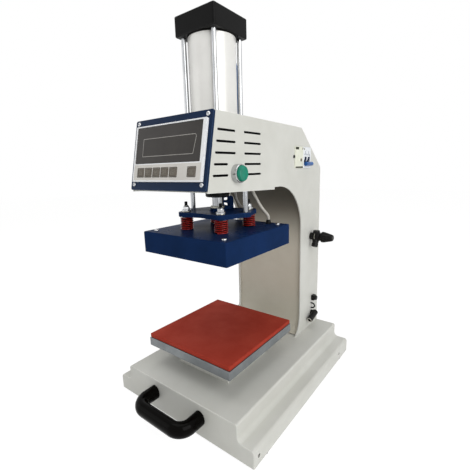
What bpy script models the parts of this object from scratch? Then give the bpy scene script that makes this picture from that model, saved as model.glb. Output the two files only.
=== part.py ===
"""Bench-top pneumatic heat press: base, C-shaped column and head, air cylinder, sprung heat platen, controls.

The frame has +X to the operator's right when facing the press, +Y to the rear and +Z up. The origin is on
the bench, under the middle of the press. Lengths are in metres.
"""

import math

import bmesh
import bpy
from mathutils import Euler, Vector

MM = 0.001

# Fits shared by all sub-parts
CONTACT_GAP = 0.3 * MM
RUNNING_GAP = 0.25 * MM
OVERRUN = 5 * MM
EDGE_BREAK = 0.8 * MM
WELD = 0.001 * MM

# Base: one folded and welded steel pan on four rubber feet
BASE_WIDTH = 330 * MM
LEDGE_WIDTH = 31 * MM
BASE_HEIGHT = 61.5 * MM
FLANGE_HEIGHT = 31 * MM
BASE_SHEET = 2 * MM
BOX_EDGE_RADIUS = 4 * MM
BOX_FOOT_RADIUS = 9 * MM
FLANGE_EDGE_RADIUS = 6 * MM
LIP_RETURN = 18 * MM
LIP_HOLE_RADIUS = 3.5 * MM
LIP_HOLE_INSET = 14 * MM
LIP_HOLE_SPACING = 336 * MM
FOOT_STANDOFF = 3 * MM
FOOT_RADIUS = 8 * MM
FOOT_INSET = 40 * MM
REAR_LEDGE = 1 * MM

# Carry handle on the front of the base
HANDLE_REACH = 54 * MM
HANDLE_LENGTH = 135.6 * MM
HANDLE_HEIGHT = 27 * MM
HANDLE_ARM = 22.6 * MM
HANDLE_BAR = 22.6 * MM
HANDLE_CORNER_RADIUS = 32 * MM
HANDLE_INNER_RADIUS = 9.7 * MM
HANDLE_EDGE_RADIUS = 8 * MM
HANDLE_MID_HEIGHT = 36.4 * MM

# Lower platen on its riser
PLATEN_SETBACK = 29 * MM
PLATEN_WIDTH = 200 * MM
PLATEN_DEPTH = 206 * MM
PLATEN_THICKNESS = 16.5 * MM
PLATEN_CLEARANCE = 43 * MM
PAD_INSET = 1.2 * MM
PAD_THICKNESS = 8 * MM
RISER_SIZE = 90 * MM
RISER_WALL = 5 * MM
RISER_FLANGE = 18 * MM
RISER_FLANGE_THICKNESS = 6 * MM

# Working opening, stroke and throat
DAYLIGHT = 164 * MM
CLOSED_GAP = 1.5 * MM
THROAT_DEPTH = 174 * MM
COLUMN_DEPTH = 95 * MM

# Heat platen: heater block, sheet cover, spring bolts
HEATER_WIDTH = 191 * MM
HEATER_DEPTH = 193 * MM
HEATER_THICKNESS = 22 * MM
HEATER_PROUD = 1 * MM
COVER_HEIGHT = 38.5 * MM
COVER_SHEET = 1.5 * MM
COVER_AIR_GAP = 1 * MM
COVER_EDGE_RADIUS = 2 * MM
PILLAR_RADIUS = 9 * MM
COVER_SCREW_INSET = 17 * MM
GLAND_RADIUS = 4.5 * MM
GLAND_HEIGHT = 5 * MM
HEATER_GLAND_PLACE = (59 * MM, 84 * MM)
SENSOR_GLAND_PLACE = (23.5 * MM, 62 * MM)

# Springs between the cover and the pressure plate
SPRING_OFFSET = 41.5 * MM
SPRING_RADIUS = 11.5 * MM
SPRING_WIRE_RADIUS = 0.8 * MM
SPRING_LENGTH = 24 * MM
SPRING_CURLS = 7
POINTS_PER_CURL = 9
BOLT_RADIUS = 3 * MM
WASHER_RADIUS = 8 * MM
WASHER_THICKNESS = 1.6 * MM
NUT_RADIUS = 6.5 * MM
NUT_HEIGHT = 7 * MM
BOLT_TAIL = 12 * MM

# Pressure plate
PLATE_THICKNESS = 8 * MM
SPRING_EAR_RADIUS = 14.5 * MM
GUIDE_EAR_RADIUS = 9.5 * MM
PLATE_WAIST = 7 * MM
HUB_WALL = 4 * MM
HUB_HEIGHT = 5 * MM
RIB_THICKNESS = 7 * MM
RIB_HEIGHT = 25 * MM
RIB_REACH = 44 * MM
RIB_SHOULDER = 8 * MM
RIB_SEAT = 2.5 * MM
RIB_SLOT = 5.5 * MM
RIB_SLOT_START = 15 * MM
RIB_SLOT_END = 33 * MM
RIB_SLOT_DROP = 2.4 * MM
RIB_SLOT_PITCH = 10 * MM
RIB_SLOT_ROUND_SHARE = 0.3
RIB_SLOT_FALL = 5 * MM
RAM_CLEARANCE = 43 * MM

# Air cylinder
CAP_SIZE = 88 * MM
CAP_HEIGHT = 32 * MM
CAP_CORNER_RADIUS = 8 * MM
BARREL_RADIUS = 42 * MM
BARREL_WALL = 3 * MM
TIE_ROD_RADIUS = 4.5 * MM
TIE_ROD_CLEARANCE = 0.9 * MM
NECK_RADIUS = 22 * MM
NECK_PROUD = 17 * MM
ROD_RADIUS = 10 * MM
PISTON_THICKNESS = 25 * MM
CUSHION_SPACE = 22 * MM

# Telescopic guides, one on each side of the cylinder
GUIDE_ROD_RADIUS = 4.5 * MM
SLEEVE_WALL = 2 * MM
BUSH_WALL = 5.5 * MM
BUSH_HEIGHT = 26 * MM
BUSH_CAP_CLEARANCE = 7.5 * MM
BUSH_SIDE_CLEARANCE = 7.5 * MM
SLEEVE_LENGTH = 105 * MM
GUIDE_ROD_ABOVE_SLEEVE = 2 * MM

# Head and column sheet metal
SIDE_SHEET = 2.5 * MM
COVER_PLATE_SHEET = 1.5 * MM
HEAD_PLATE_THICKNESS = 8 * MM
HEAD_OVERHANG = 125.5 * MM
ARCH_RADIUS = 94 * MM
ARCH_LANDING = 18 * MM
SKIRT_DEPTH = 6.5 * MM
SKIRT_STEP = 4.3 * MM
FLARE_REACH = 28 * MM
FLARE_HEIGHT = 50 * MM
FRONT_PANEL_RECESS = 5 * MM
HEAD_TOP_DEPTH = 268 * MM
HEAD_TOP_FALL = 3.5 * MM
CHAMFER_HEIGHT = 80 * MM
TOP_REAR_RADIUS = 16 * MM
CHAMFER_FOOT_RADIUS = 8 * MM
CYLINDER_OPENING_CLEARANCE = 2 * MM

# Cooling slots in the head's sides
SLOT_HEIGHT = 3.6 * MM
SLOT_PITCH = 16.4 * MM
SLOT_TOP_DROP = 27.6 * MM
SLOT_FRONT_MARGIN = 8 * MM
SLOT_ROWS = 5
LONG_SLOT_ROWS = 3
SLOT_ROUND_SHARE = 0.45
SLOT_ROUND_STEPS = 2
FRONT_SLOT_END = 78.5 * MM
SHORT_SLOT_END = 58.5 * MM
REAR_SLOT_START = 100.5 * MM
REAR_SLOT_END = 149 * MM

# Control panel
PANEL_HEIGHT = 115.8 * MM
PANEL_TILT = math.radians(11.8)
PANEL_DROP = 2.3 * MM
BEZEL_THICKNESS = 4 * MM
BEZEL_SIDE = 7 * MM
BEZEL_TOP = 11.5 * MM
BEZEL_BOTTOM = 13 * MM
BEZEL_CORNER_RADIUS = 3 * MM
KEYPAD_PROUD = 3.8 * MM
KEYPAD_DEPTH = 10 * MM
KEYPAD_WALL = 2 * MM
WINDOW_LEFT_MARGIN = 3 * MM
WINDOW_RIGHT_MARGIN = 6.5 * MM
WINDOW_TOP_MARGIN = 2 * MM
KEY_STRIP_HEIGHT = 29 * MM
WINDOW_THICKNESS = 3 * MM
WINDOW_RECESS = 0.5 * MM
KEY_COLUMNS = (0, 1, 2, 3, 4, 6)
KEY_COLUMN_COUNT = 7
KEY_MIDDLE_SHARE = 0.5
KEY_ROW_MARGIN = 11 * MM
KEY_GAP = 4.8 * MM
KEY_HEIGHT = 12.7 * MM
KEY_PROUD = 1 * MM
KEY_FLANGE = 1 * MM
BOARD_THICKNESS = 1.6 * MM

# Start button on the right side of the head
BUTTON_SETBACK = 78.5 * MM
BUTTON_RISE = 25.5 * MM
BUTTON_BEZEL_RADIUS = 14.5 * MM
BUTTON_BEZEL_HEIGHT = 10.4 * MM
BUTTON_CAP_RADIUS = 12.4 * MM
BUTTON_REACH = 15 * MM
BUTTON_TRAVEL = 3.5 * MM
BUTTON_BARREL_RADIUS = 11 * MM
BUTTON_BARREL_DEPTH = 28 * MM
BUTTON_STEM_RADIUS = 7 * MM
BUTTON_FLOOR = 1.2 * MM

# Breaker in its cutout on the right side
BREAKER_SETBACK = 308 * MM
BREAKER_DROP = 62.7 * MM
BREAKER_WIDTH = 71.5 * MM
BREAKER_HEIGHT = 43 * MM
BREAKER_PROUD = 2 * MM
BREAKER_DEPTH = 56 * MM
BREAKER_STEP = 1 * MM
LEVER_CENTRE_SHARE = 0.48
TEST_BUTTON_SHARE = 0.29
LEVER_POCKET_WIDTH = 29 * MM
LEVER_POCKET_HEIGHT = 31 * MM
LEVER_POCKET_DEPTH = 19 * MM
LEVER_PIVOT_DEPTH = 11 * MM
LEVER_ARM = 20.2 * MM
LEVER_ANGLE = math.radians(40)
LEVER_HUB_RADIUS = 6 * MM
LEVER_BAR_RADIUS = 4.3 * MM
LEVER_BAR_LENGTH = 31 * MM
LEVER_ARM_WIDTH = 4 * MM
LEVER_ARM_SPACING = 18.5 * MM
TEST_BUTTON_RADIUS = 2.8 * MM
TEST_BUTTON_PROUD = 1.2 * MM
TEST_BUTTON_LENGTH = 8 * MM
TEST_BUTTON_DROP = 5 * MM

# Pressure regulator and air inlet on the right side of the column
REGULATOR_COLUMN_SHARE = 0.516
REGULATOR_DROP = 123 * MM
REGULATOR_NUT_RADIUS = 8 * MM
REGULATOR_NUT_HEIGHT = 6 * MM
REGULATOR_BODY_RADIUS = 10.5 * MM
REGULATOR_BODY_LENGTH = 16 * MM
REGULATOR_STEM_RADIUS = 6.5 * MM
REGULATOR_STEM_LENGTH = 15 * MM
REGULATOR_COLLAR_RADIUS = 7.5 * MM
REGULATOR_COLLAR_LENGTH = 4.5 * MM
REGULATOR_TOP_PORT_RADIUS = 7.6 * MM
REGULATOR_TOP_PORT_REACH = 14 * MM
REGULATOR_LOW_PORT_RADIUS = 7.2 * MM
REGULATOR_LOW_PORT_REACH = 24 * MM
REGULATOR_LOW_PORT_TURN = math.radians(12)
KNOB_RADIUS = 12 * MM
KNOB_END_RADIUS = 8.5 * MM
KNOB_LENGTH = 26 * MM
KNOB_RIBS = 12
KNOB_TURN_SHARE = 0.25
INLET_COLUMN_SHARE = 0.627
INLET_RISE = 32 * MM
INLET_TILT = math.radians(15)
INLET_BODY_RADIUS = 5.4 * MM
INLET_OUTLET_RADIUS = 6.8 * MM
INLET_BODY_LENGTH = 9 * MM
INLET_OUTLET_LENGTH = 29 * MM
INLET_BORE_RADIUS = 4.2 * MM
INLET_BORE_DEPTH = 14 * MM
FUSE_COLUMN_SHARE = 0.674
FUSE_RISE = 69.5 * MM
FUSE_WIDTH = 12 * MM
FUSE_HEIGHT = 12.5 * MM
FUSE_REACH = 12 * MM
FUSE_BODY_RADIUS = 5 * MM
FUSE_BODY_LENGTH = 26 * MM

# Solenoid valve inside the head
VALVE_WIDTH = 24 * MM
VALVE_LENGTH = 62 * MM
VALVE_HEIGHT = 34 * MM
VALVE_COIL_RADIUS = 13 * MM
VALVE_COIL_LENGTH = 40 * MM
VALVE_SETBACK = 250 * MM
VALVE_DROP = 78 * MM

# Air hose behind the cylinder and heater lead under the head
HOSE_RADIUS = 4 * MM
ELBOW_RADIUS = 6.8 * MM
ELBOW_OUTLET_RADIUS = 6.2 * MM
ELBOW_REACH = 13 * MM
ELBOW_DROP = 16 * MM
ELBOW_PORT_DROP = 14 * MM
HOSE_ENTRY_X = 20 * MM
HOSE_ENTRY_CLEARANCE = 10 * MM
HOSE_BOW_SHARES = (
    (0.15, 0, 0.16),
    (0.57, 0.33, 0.37),
    (0.7, 0.6, 0.56),
    (0.72, 0.73, 0.72),
    (0.84, 0.93, 0.85),
)
HEATER_LEAD_RADIUS = 3.1 * MM
HEATER_LEAD_TOP = (44 * MM, 50 * MM)
SENSOR_LEAD_RADIUS = 2.1 * MM
SENSOR_LEAD_TOP = (3.5 * MM, 50.5 * MM)
LEAD_STRAIGHT = 4 * MM
LEAD_GLAND_STRAIGHT = 9 * MM
HEATER_LEAD_BOW_SHARES = ((0.09, 0.5, 0.44), (0.42, 0.74, 0.70))
SENSOR_LEAD_BOW_SHARES = ((0.02, 0.2, 0.32), (0.16, 0.78, 0.58))

# Heights, built up from the bench
RIM_Z = FOOT_STANDOFF
FLANGE_Z = RIM_Z + FLANGE_HEIGHT
BASE_TOP_Z = RIM_Z + BASE_HEIGHT
PLATEN_Z = BASE_TOP_Z + PLATEN_CLEARANCE
PLATEN_TOP_Z = PLATEN_Z + PLATEN_THICKNESS
PAD_Z = PLATEN_TOP_Z + CONTACT_GAP
PAD_TOP_Z = PAD_Z + PAD_THICKNESS
HEATER_Z = PAD_TOP_Z + DAYLIGHT
COVER_Z = HEATER_Z + HEATER_PROUD
COVER_TOP_Z = COVER_Z + COVER_HEIGHT
SPRING_Z = COVER_TOP_Z + CONTACT_GAP
PRESSURE_PLATE_Z = SPRING_Z + SPRING_LENGTH + CONTACT_GAP
PRESSURE_PLATE_TOP_Z = PRESSURE_PLATE_Z + PLATE_THICKNESS
HEAD_PLATE_Z = PRESSURE_PLATE_TOP_Z + RAM_CLEARANCE
HEAD_PLATE_TOP_Z = HEAD_PLATE_Z + HEAD_PLATE_THICKNESS
FRONT_CAP_Z = HEAD_PLATE_TOP_Z + CONTACT_GAP
BARREL_Z = FRONT_CAP_Z + CAP_HEIGHT + CONTACT_GAP
STROKE = DAYLIGHT - CLOSED_GAP
BARREL_LENGTH = STROKE + PISTON_THICKNESS + CUSHION_SPACE
REAR_CAP_Z = BARREL_Z + BARREL_LENGTH + CONTACT_GAP
REAR_CAP_TOP_Z = REAR_CAP_Z + CAP_HEIGHT
ARCH_TOP_Z = HEAD_PLATE_Z - SKIRT_DEPTH + SKIRT_STEP
ARCH_CENTRE_Z = ARCH_TOP_Z - ARCH_RADIUS

# Depths, from the front of the base to the rear
PRESS_AXIS_SETBACK = PLATEN_SETBACK + PLATEN_DEPTH / 2
COLUMN_FRONT_SETBACK = PRESS_AXIS_SETBACK + THROAT_DEPTH
COLUMN_REAR_SETBACK = COLUMN_FRONT_SETBACK + COLUMN_DEPTH
BASE_DEPTH = COLUMN_REAR_SETBACK + REAR_LEDGE
BASE_FRONT_Y = (HANDLE_REACH - BASE_DEPTH) / 2
BASE_REAR_Y = BASE_FRONT_Y + BASE_DEPTH
PRESS_AXIS_Y = BASE_FRONT_Y + PRESS_AXIS_SETBACK
COLUMN_FRONT_Y = BASE_FRONT_Y + COLUMN_FRONT_SETBACK
COLUMN_REAR_Y = BASE_FRONT_Y + COLUMN_REAR_SETBACK
HEAD_FRONT_Y = PRESS_AXIS_Y - HEAD_OVERHANG
ARCH_CENTRE_Y = COLUMN_FRONT_Y - ARCH_RADIUS
HEAD_PLATE_REAR_Y = ARCH_CENTRE_Y - ARCH_LANDING

# Widths, from the cylinder outwards
SLEEVE_RADIUS = GUIDE_ROD_RADIUS + RUNNING_GAP + SLEEVE_WALL
BUSH_RADIUS = SLEEVE_RADIUS + RUNNING_GAP + BUSH_WALL
GUIDE_OFFSET = CAP_SIZE / 2 + BUSH_CAP_CLEARANCE + BUSH_RADIUS
HEAD_INNER_HALF = GUIDE_OFFSET + BUSH_RADIUS + BUSH_SIDE_CLEARANCE
HEAD_HALF = HEAD_INNER_HALF + SIDE_SHEET
SHEET_WIDTH = 2 * (HEAD_INNER_HALF - CONTACT_GAP)
TIE_ROD_OFFSET = (BARREL_RADIUS + TIE_ROD_CLEARANCE + TIE_ROD_RADIUS) / math.sqrt(2)
COVER_WIDTH = HEATER_WIDTH + 2 * (COVER_AIR_GAP + COVER_SHEET)
COVER_DEPTH = HEATER_DEPTH + 2 * (COVER_AIR_GAP + COVER_SHEET)

BARREL_STEPS = 48
ROUND_STEPS = 32
SLIM_ROUND_STEPS = 24
SMALL_ROUND_STEPS = 16
HOLE_STEPS = 12
GROOVE_STEPS = 8
ARC_STEPS = 6
CORNER_STEPS = 4
ROUTE_STEPS = 4

FINISHES = {
    "painted_steel": ((0.66, 0.66, 0.62), 0.0, 0.42),
    "navy_paint": ((0.012, 0.028, 0.10), 0.0, 0.28),
    "black_plastic": ((0.012, 0.012, 0.012), 0.0, 0.38),
    "rubber": ((0.015, 0.015, 0.015), 0.0, 0.8),
    "silicone": ((0.26, 0.035, 0.022), 0.0, 0.62),
    "aluminium": ((0.52, 0.54, 0.56), 1.0, 0.38),
    "anodised_tube": ((0.80, 0.82, 0.84), 1.0, 0.24),
    "steel": ((0.55, 0.55, 0.55), 1.0, 0.3),
    "chrome": ((0.82, 0.82, 0.82), 1.0, 0.1),
    "black_steel": ((0.03, 0.03, 0.03), 0.4, 0.4),
    "spring_red": ((0.42, 0.012, 0.012), 0.0, 0.35),
    "panel_white": ((0.72, 0.72, 0.70), 0.0, 0.4),
    "dark_window": ((0.02, 0.02, 0.018), 0.0, 0.12),
    "key_grey": ((0.10, 0.09, 0.08), 0.0, 0.5),
    "circuit_green": ((0.02, 0.14, 0.05), 0.0, 0.5),
    "button_green": ((0.006, 0.20, 0.14), 0.0, 0.3),
    "breaker_cream": ((0.80, 0.82, 0.70), 0.0, 0.4),
    "lever_blue": ((0.012, 0.06, 0.26), 0.0, 0.35),
    "hose_blue": ((0.02, 0.17, 0.42), 0.0, 0.3),
    "lead_grey": ((0.62, 0.60, 0.56), 0.0, 0.6),
}


def clear_scene():
    for thing in list(bpy.data.objects):
        bpy.data.objects.remove(thing, do_unlink=True)


def new_collection(name):
    made = bpy.data.collections.new(name)
    bpy.context.scene.collection.children.link(made)
    return made


clear_scene()
PARTS = new_collection("pneumatic_heat_press")
CUTTERS = new_collection("cutters")


def finish(name):
    """The Principled material of that name, made once."""
    if name in bpy.data.materials:
        return bpy.data.materials[name]
    colour, metallic, roughness = FINISHES[name]
    made = bpy.data.materials.new(name)
    made.use_nodes = True
    shader = made.node_tree.nodes["Principled BSDF"]
    shader.inputs["Base Color"].default_value = (*colour, 1)
    shader.inputs["Metallic"].default_value = metallic
    shader.inputs["Roughness"].default_value = roughness
    return made


def smooth(thing):
    thing.data.shade_smooth()
    thing.data.set_sharp_from_angle(angle=math.radians(35))


def add_part(name, mesh, material, location=(0, 0, 0), rotation=(0, 0, 0)):
    thing = bpy.data.objects.new(name, mesh)
    thing.location = location
    thing.rotation_euler = rotation
    thing.data.materials.clear()
    thing.data.materials.append(finish(material))
    PARTS.objects.link(thing)
    return thing


def as_helper(thing):
    """Takes an object out of the model, for use in a Boolean only."""
    thing.hide_render = True
    thing.display_type = "WIRE"
    PARTS.objects.unlink(thing)
    CUTTERS.objects.link(thing)
    return thing


def combine(target, others, operation):
    for other in others:
        if other.hide_render is False:
            as_helper(other)
        step = target.modifiers.new(f"{operation.lower()} {other.name}", "BOOLEAN")
        step.operation = operation
        step.object = other
    return target


def cut(target, *others):
    return combine(target, others, "DIFFERENCE")


def unite(target, *others):
    return combine(target, others, "UNION")


def break_edges(thing, width, segments=2, angle=40):
    bevel = thing.modifiers.new("rounded edges", "BEVEL")
    bevel.width = width
    bevel.segments = segments
    bevel.limit_method = "ANGLE"
    bevel.angle_limit = math.radians(angle)
    bevel.harden_normals = False
    return thing


def box(name, material, low, high):
    """A block between two opposite corners."""
    low, high = Vector(low), Vector(high)
    shape = bmesh.new()
    bmesh.ops.create_cube(shape, size=1)
    bmesh.ops.scale(shape, vec=high - low, verts=shape.verts)
    mesh = bpy.data.meshes.new(name)
    shape.to_mesh(mesh)
    shape.free()
    return add_part(name, mesh, material, (low + high) / 2)


def towards(direction):
    """The rotation that turns +Z to a direction."""
    return Vector(direction).to_track_quat("Z", "Y").to_euler()


def rod(name, material, start, end, radius, steps=ROUND_STEPS):
    """A solid cylinder from one point to another."""
    start, end = Vector(start), Vector(end)
    shape = bmesh.new()
    bmesh.ops.create_cone(
        shape, cap_ends=True, segments=steps, radius1=radius, radius2=radius, depth=(end - start).length
    )
    mesh = bpy.data.meshes.new(name)
    shape.to_mesh(mesh)
    shape.free()
    thing = add_part(name, mesh, material, (start + end) / 2, towards(end - start))
    smooth(thing)
    return thing


def turned(name, material, profile, location, direction=(0, 0, 1), closed=False, steps=ROUND_STEPS):
    """A lathe part. The profile holds (radius, height) and runs down the outer side."""
    shape = bmesh.new()
    corners = [shape.verts.new((radius, 0, height)) for radius, height in profile]
    for first, second in zip(corners, corners[1:]):
        shape.edges.new((first, second))
    if closed:
        shape.edges.new((corners[-1], corners[0]))
    mesh = bpy.data.meshes.new(name)
    shape.to_mesh(mesh)
    shape.free()
    thing = add_part(name, mesh, material, location, towards(direction))
    screw = thing.modifiers.new("lathe", "SCREW")
    screw.steps = steps
    screw.render_steps = steps
    screw.use_merge_vertices = True
    screw.merge_threshold = 0.01 * MM
    screw.use_smooth_shade = True
    return thing


def arc(centre, radius, start, end, steps=ARC_STEPS):
    """Points along a circle or, with two radii, an ellipse. Angles are in degrees."""
    wide, high = radius if isinstance(radius, tuple) else (radius, radius)
    angles = [math.radians(start + (end - start) * i / steps) for i in range(steps + 1)]
    return [(centre[0] + wide * math.cos(a), centre[1] + high * math.sin(a)) for a in angles]


def fillet(corners, closed=True, steps=ARC_STEPS):
    """An outline from (x, y, radius) corners, with each corner rounded to its radius."""
    points = []
    count = len(corners)
    for i, (x, y, radius) in enumerate(corners):
        here = Vector((x, y))
        inside = closed or 0 < i < count - 1
        if not radius or not inside:
            points.append((x, y))
            continue
        before = (Vector(corners[i - 1][:2]) - here).normalized()
        after = (Vector(corners[(i + 1) % count][:2]) - here).normalized()
        half = before.angle(after) / 2
        centre = here + (before + after).normalized() * radius / math.sin(half)
        first = here + before * radius / math.tan(half) - centre
        last = here + after * radius / math.tan(half) - centre
        sweep = first.angle_signed(last)
        for step in range(steps + 1):
            turn = -sweep * step / steps
            spoke = (
                first.x * math.cos(turn) - first.y * math.sin(turn),
                first.x * math.sin(turn) + first.y * math.cos(turn),
            )
            points.append((centre.x + spoke[0], centre.y + spoke[1]))
    return points


def rectangle(low, high, radius=0, steps=3):
    corners = ((low[0], low[1]), (high[0], low[1]), (high[0], high[1]), (low[0], high[1]))
    return fillet([(*corner, radius) for corner in corners], steps=steps)


PLANES = {
    "X": Euler((math.pi / 2, 0, math.pi / 2)),
    "Y": Euler((math.pi / 2, 0, 0)),
    "Z": Euler((0, 0, 0)),
}


def mesh_of(curve, plain=False):
    """The mesh that a curve object makes, with its caps welded on and, where plain, each cap as one face."""
    graph = bpy.context.evaluated_depsgraph_get()
    mesh = bpy.data.meshes.new_from_object(curve.evaluated_get(graph))
    bpy.data.objects.remove(curve, do_unlink=True)
    shape = bmesh.new()
    shape.from_mesh(mesh)
    bmesh.ops.remove_doubles(shape, verts=shape.verts, dist=WELD)
    if plain:
        bmesh.ops.dissolve_limit(shape, angle_limit=math.radians(1), verts=shape.verts, edges=shape.edges)
    bmesh.ops.recalc_face_normals(shape, faces=shape.faces)
    shape.to_mesh(mesh)
    shape.free()
    return mesh


def curve_object(name, outlines, closed, dimensions, depth, filled):
    data = bpy.data.curves.new(name, "CURVE")
    data.dimensions = dimensions
    data.fill_mode = "BOTH" if filled else "HALF"
    data.extrude = depth
    for outline in outlines:
        spline = data.splines.new("POLY")
        spline.points.add(len(outline) - 1)
        for point, place in zip(spline.points, outline):
            point.co = (*place, 0, 1)
        spline.use_cyclic_u = closed
    thing = bpy.data.objects.new(name, data)
    PARTS.objects.link(thing)
    bpy.context.view_layer.update()
    return thing


def plate(name, material, outline, across, low, high, holes=()):
    """A flat outline with holes, filled from low to high along the axis that it stands across."""
    curve = curve_object(name, [outline, *holes], True, "2D", (high - low) / 2, True)
    mesh = mesh_of(curve, plain=not holes)
    mesh.name = name
    middle = (high + low) / 2
    location = {"X": (middle, 0, 0), "Y": (0, middle, 0), "Z": (0, 0, middle)}[across]
    return add_part(name, mesh, material, location, PLANES[across])


def bent_sheet(name, material, path, width, thickness, side):
    """Sheet metal bent along a (y, z) path, centred on X. Side 1 or -1 is where it thickens."""
    curve = curve_object(name, [path], False, "3D", width / 2, False)
    mesh = mesh_of(curve)
    mesh.name = name
    thing = add_part(name, mesh, material, (0, 0, 0), PLANES["X"])
    shell = thing.modifiers.new("sheet", "SOLIDIFY")
    shell.thickness = thickness
    shell.offset = side
    shell.use_even_offset = True
    return thing


def tube(name, material, points, radius, sides_setting):
    """A round tube or wire along points, with flat ends."""
    data = bpy.data.curves.new(name, "CURVE")
    data.dimensions = "3D"
    data.bevel_depth = radius
    data.bevel_resolution = sides_setting
    data.use_fill_caps = True
    spline = data.splines.new("POLY")
    spline.points.add(len(points) - 1)
    for point, place in zip(spline.points, points):
        point.co = (*place, 1)
    thing = bpy.data.objects.new(name, data)
    data.materials.append(finish(material))
    PARTS.objects.link(thing)
    return thing


def smooth_route(points, steps):
    """A smooth curve through a route's points, with its first and its last span left straight."""
    inner = points[1:-1]
    leaving = (inner[0] - points[0]).normalized() * (inner[1] - inner[0]).length
    arriving = (points[-1] - inner[-1]).normalized() * (inner[-1] - inner[-2]).length
    knots = [inner[1] - leaving, *inner, inner[-2] + arriving]
    route = [points[0]]
    for a, b, c, d in zip(knots, knots[1:], knots[2:], knots[3:]):
        for i in range(steps):
            t = i / steps
            bend = (2 * a - 5 * b + 4 * c - d) * t**2 + (3 * b - a - 3 * c + d) * t**3
            route.append((2 * b + (c - a) * t + bend) / 2)
    return [*route, inner[-1], points[-1]]


def panel_point(height, depth):
    """The (y, z) place at a height up the sloped control panel and a depth behind its face."""
    up = (math.sin(PANEL_TILT), math.cos(PANEL_TILT))
    start = (HEAD_FRONT_Y, HEAD_PLATE_Z + PANEL_DROP)
    return (
        start[0] + height * up[0] + depth * up[1],
        start[1] + height * up[1] - depth * up[0],
    )


HEAD_TOP_Z = panel_point(PANEL_HEIGHT, BEZEL_THICKNESS + CONTACT_GAP)[1]
HEAD_TOP_FRONT_Y = panel_point(PANEL_HEIGHT, BEZEL_THICKNESS + CONTACT_GAP)[0]
HEAD_TOP_REAR_Z = HEAD_TOP_Z - HEAD_TOP_FALL
HEAD_TOP_REAR_Y = HEAD_TOP_FRONT_Y + HEAD_TOP_DEPTH
CHAMFER_FOOT_Z = HEAD_TOP_REAR_Z - CHAMFER_HEIGHT


def round_hole(centre, radius, steps=SMALL_ROUND_STEPS):
    return arc(centre, radius, 0, 360 * (1 - 1 / steps), steps - 1)


def base():
    half, box_half = BASE_WIDTH / 2, BASE_WIDTH / 2 - LEDGE_WIDTH
    right = [
        (half, RIM_Z, 0),
        (half, FLANGE_Z, FLANGE_EDGE_RADIUS),
        (box_half, FLANGE_Z, BOX_FOOT_RADIUS),
        (box_half, BASE_TOP_Z, BOX_EDGE_RADIUS),
    ]
    left = [(-x, z, radius) for x, z, radius in reversed(right)]
    outline = fillet(right + left, steps=CORNER_STEPS)
    pan = plate("base_pan", "painted_steel", outline, "Y", BASE_FRONT_Y, BASE_REAR_Y)
    inner, lip = half - BASE_SHEET, half - LIP_RETURN
    hollow_right = [
        (inner, RIM_Z + BASE_SHEET, 0),
        (inner, FLANGE_Z - BASE_SHEET, FLANGE_EDGE_RADIUS - BASE_SHEET),
        (box_half - BASE_SHEET, FLANGE_Z - BASE_SHEET, BOX_FOOT_RADIUS + BASE_SHEET),
        (box_half - BASE_SHEET, BASE_TOP_Z - BASE_SHEET, BOX_EDGE_RADIUS - BASE_SHEET),
    ]
    hollow_left = [(-x, z, radius) for x, z, radius in reversed(hollow_right)]
    hollow = plate(
        "base_hollow",
        "painted_steel",
        fillet(hollow_right + hollow_left, steps=CORNER_STEPS),
        "Y",
        BASE_FRONT_Y + BASE_SHEET,
        BASE_REAR_Y - BASE_SHEET,
    )
    opening = box(
        "base_opening",
        "painted_steel",
        (-lip, BASE_FRONT_Y + 2 * BASE_SHEET, RIM_Z - OVERRUN),
        (lip, BASE_REAR_Y - 2 * BASE_SHEET, RIM_Z + OVERRUN),
    )
    holes = []
    for i, setback in enumerate((LIP_HOLE_INSET, LIP_HOLE_INSET + LIP_HOLE_SPACING)):
        y = BASE_FRONT_Y + setback
        z = RIM_Z + FLANGE_HEIGHT / 2
        reach = half + OVERRUN
        holes.append(rod(f"lip_hole_{i}", "steel", (-reach, y, z), (reach, y, z), LIP_HOLE_RADIUS, HOLE_STEPS))
    cut(pan, hollow, opening, *holes)
    foot_x = half - LIP_RETURN / 2
    for end, y in (("front", BASE_FRONT_Y + FOOT_INSET), ("rear", BASE_REAR_Y - FOOT_INSET)):
        for side, x in (("left", -foot_x), ("right", foot_x)):
            rod(
                f"foot_{end}_{side}",
                "rubber",
                (x, y, 0),
                (x, y, RIM_Z - CONTACT_GAP),
                FOOT_RADIUS,
                SMALL_ROUND_STEPS,
            )


def carry_handle():
    outer, inner = HANDLE_LENGTH / 2, HANDLE_LENGTH / 2 - HANDLE_ARM
    root_y = BASE_FRONT_Y - CONTACT_GAP
    front_y = BASE_FRONT_Y - HANDLE_REACH
    bar_y = front_y + HANDLE_BAR
    outline = fillet(
        [
            (-outer, root_y, 0),
            (-outer, front_y, HANDLE_CORNER_RADIUS),
            (outer, front_y, HANDLE_CORNER_RADIUS),
            (outer, root_y, 0),
            (inner, root_y, 0),
            (inner, bar_y, HANDLE_INNER_RADIUS),
            (-inner, bar_y, HANDLE_INNER_RADIUS),
            (-inner, root_y, 0),
        ]
    )
    middle = RIM_Z + HANDLE_MID_HEIGHT
    handle = plate(
        "carry_handle", "black_plastic", outline, "Z", middle - HANDLE_HEIGHT / 2, middle + HANDLE_HEIGHT / 2
    )
    break_edges(handle, HANDLE_EDGE_RADIUS, segments=3, angle=60)


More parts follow.
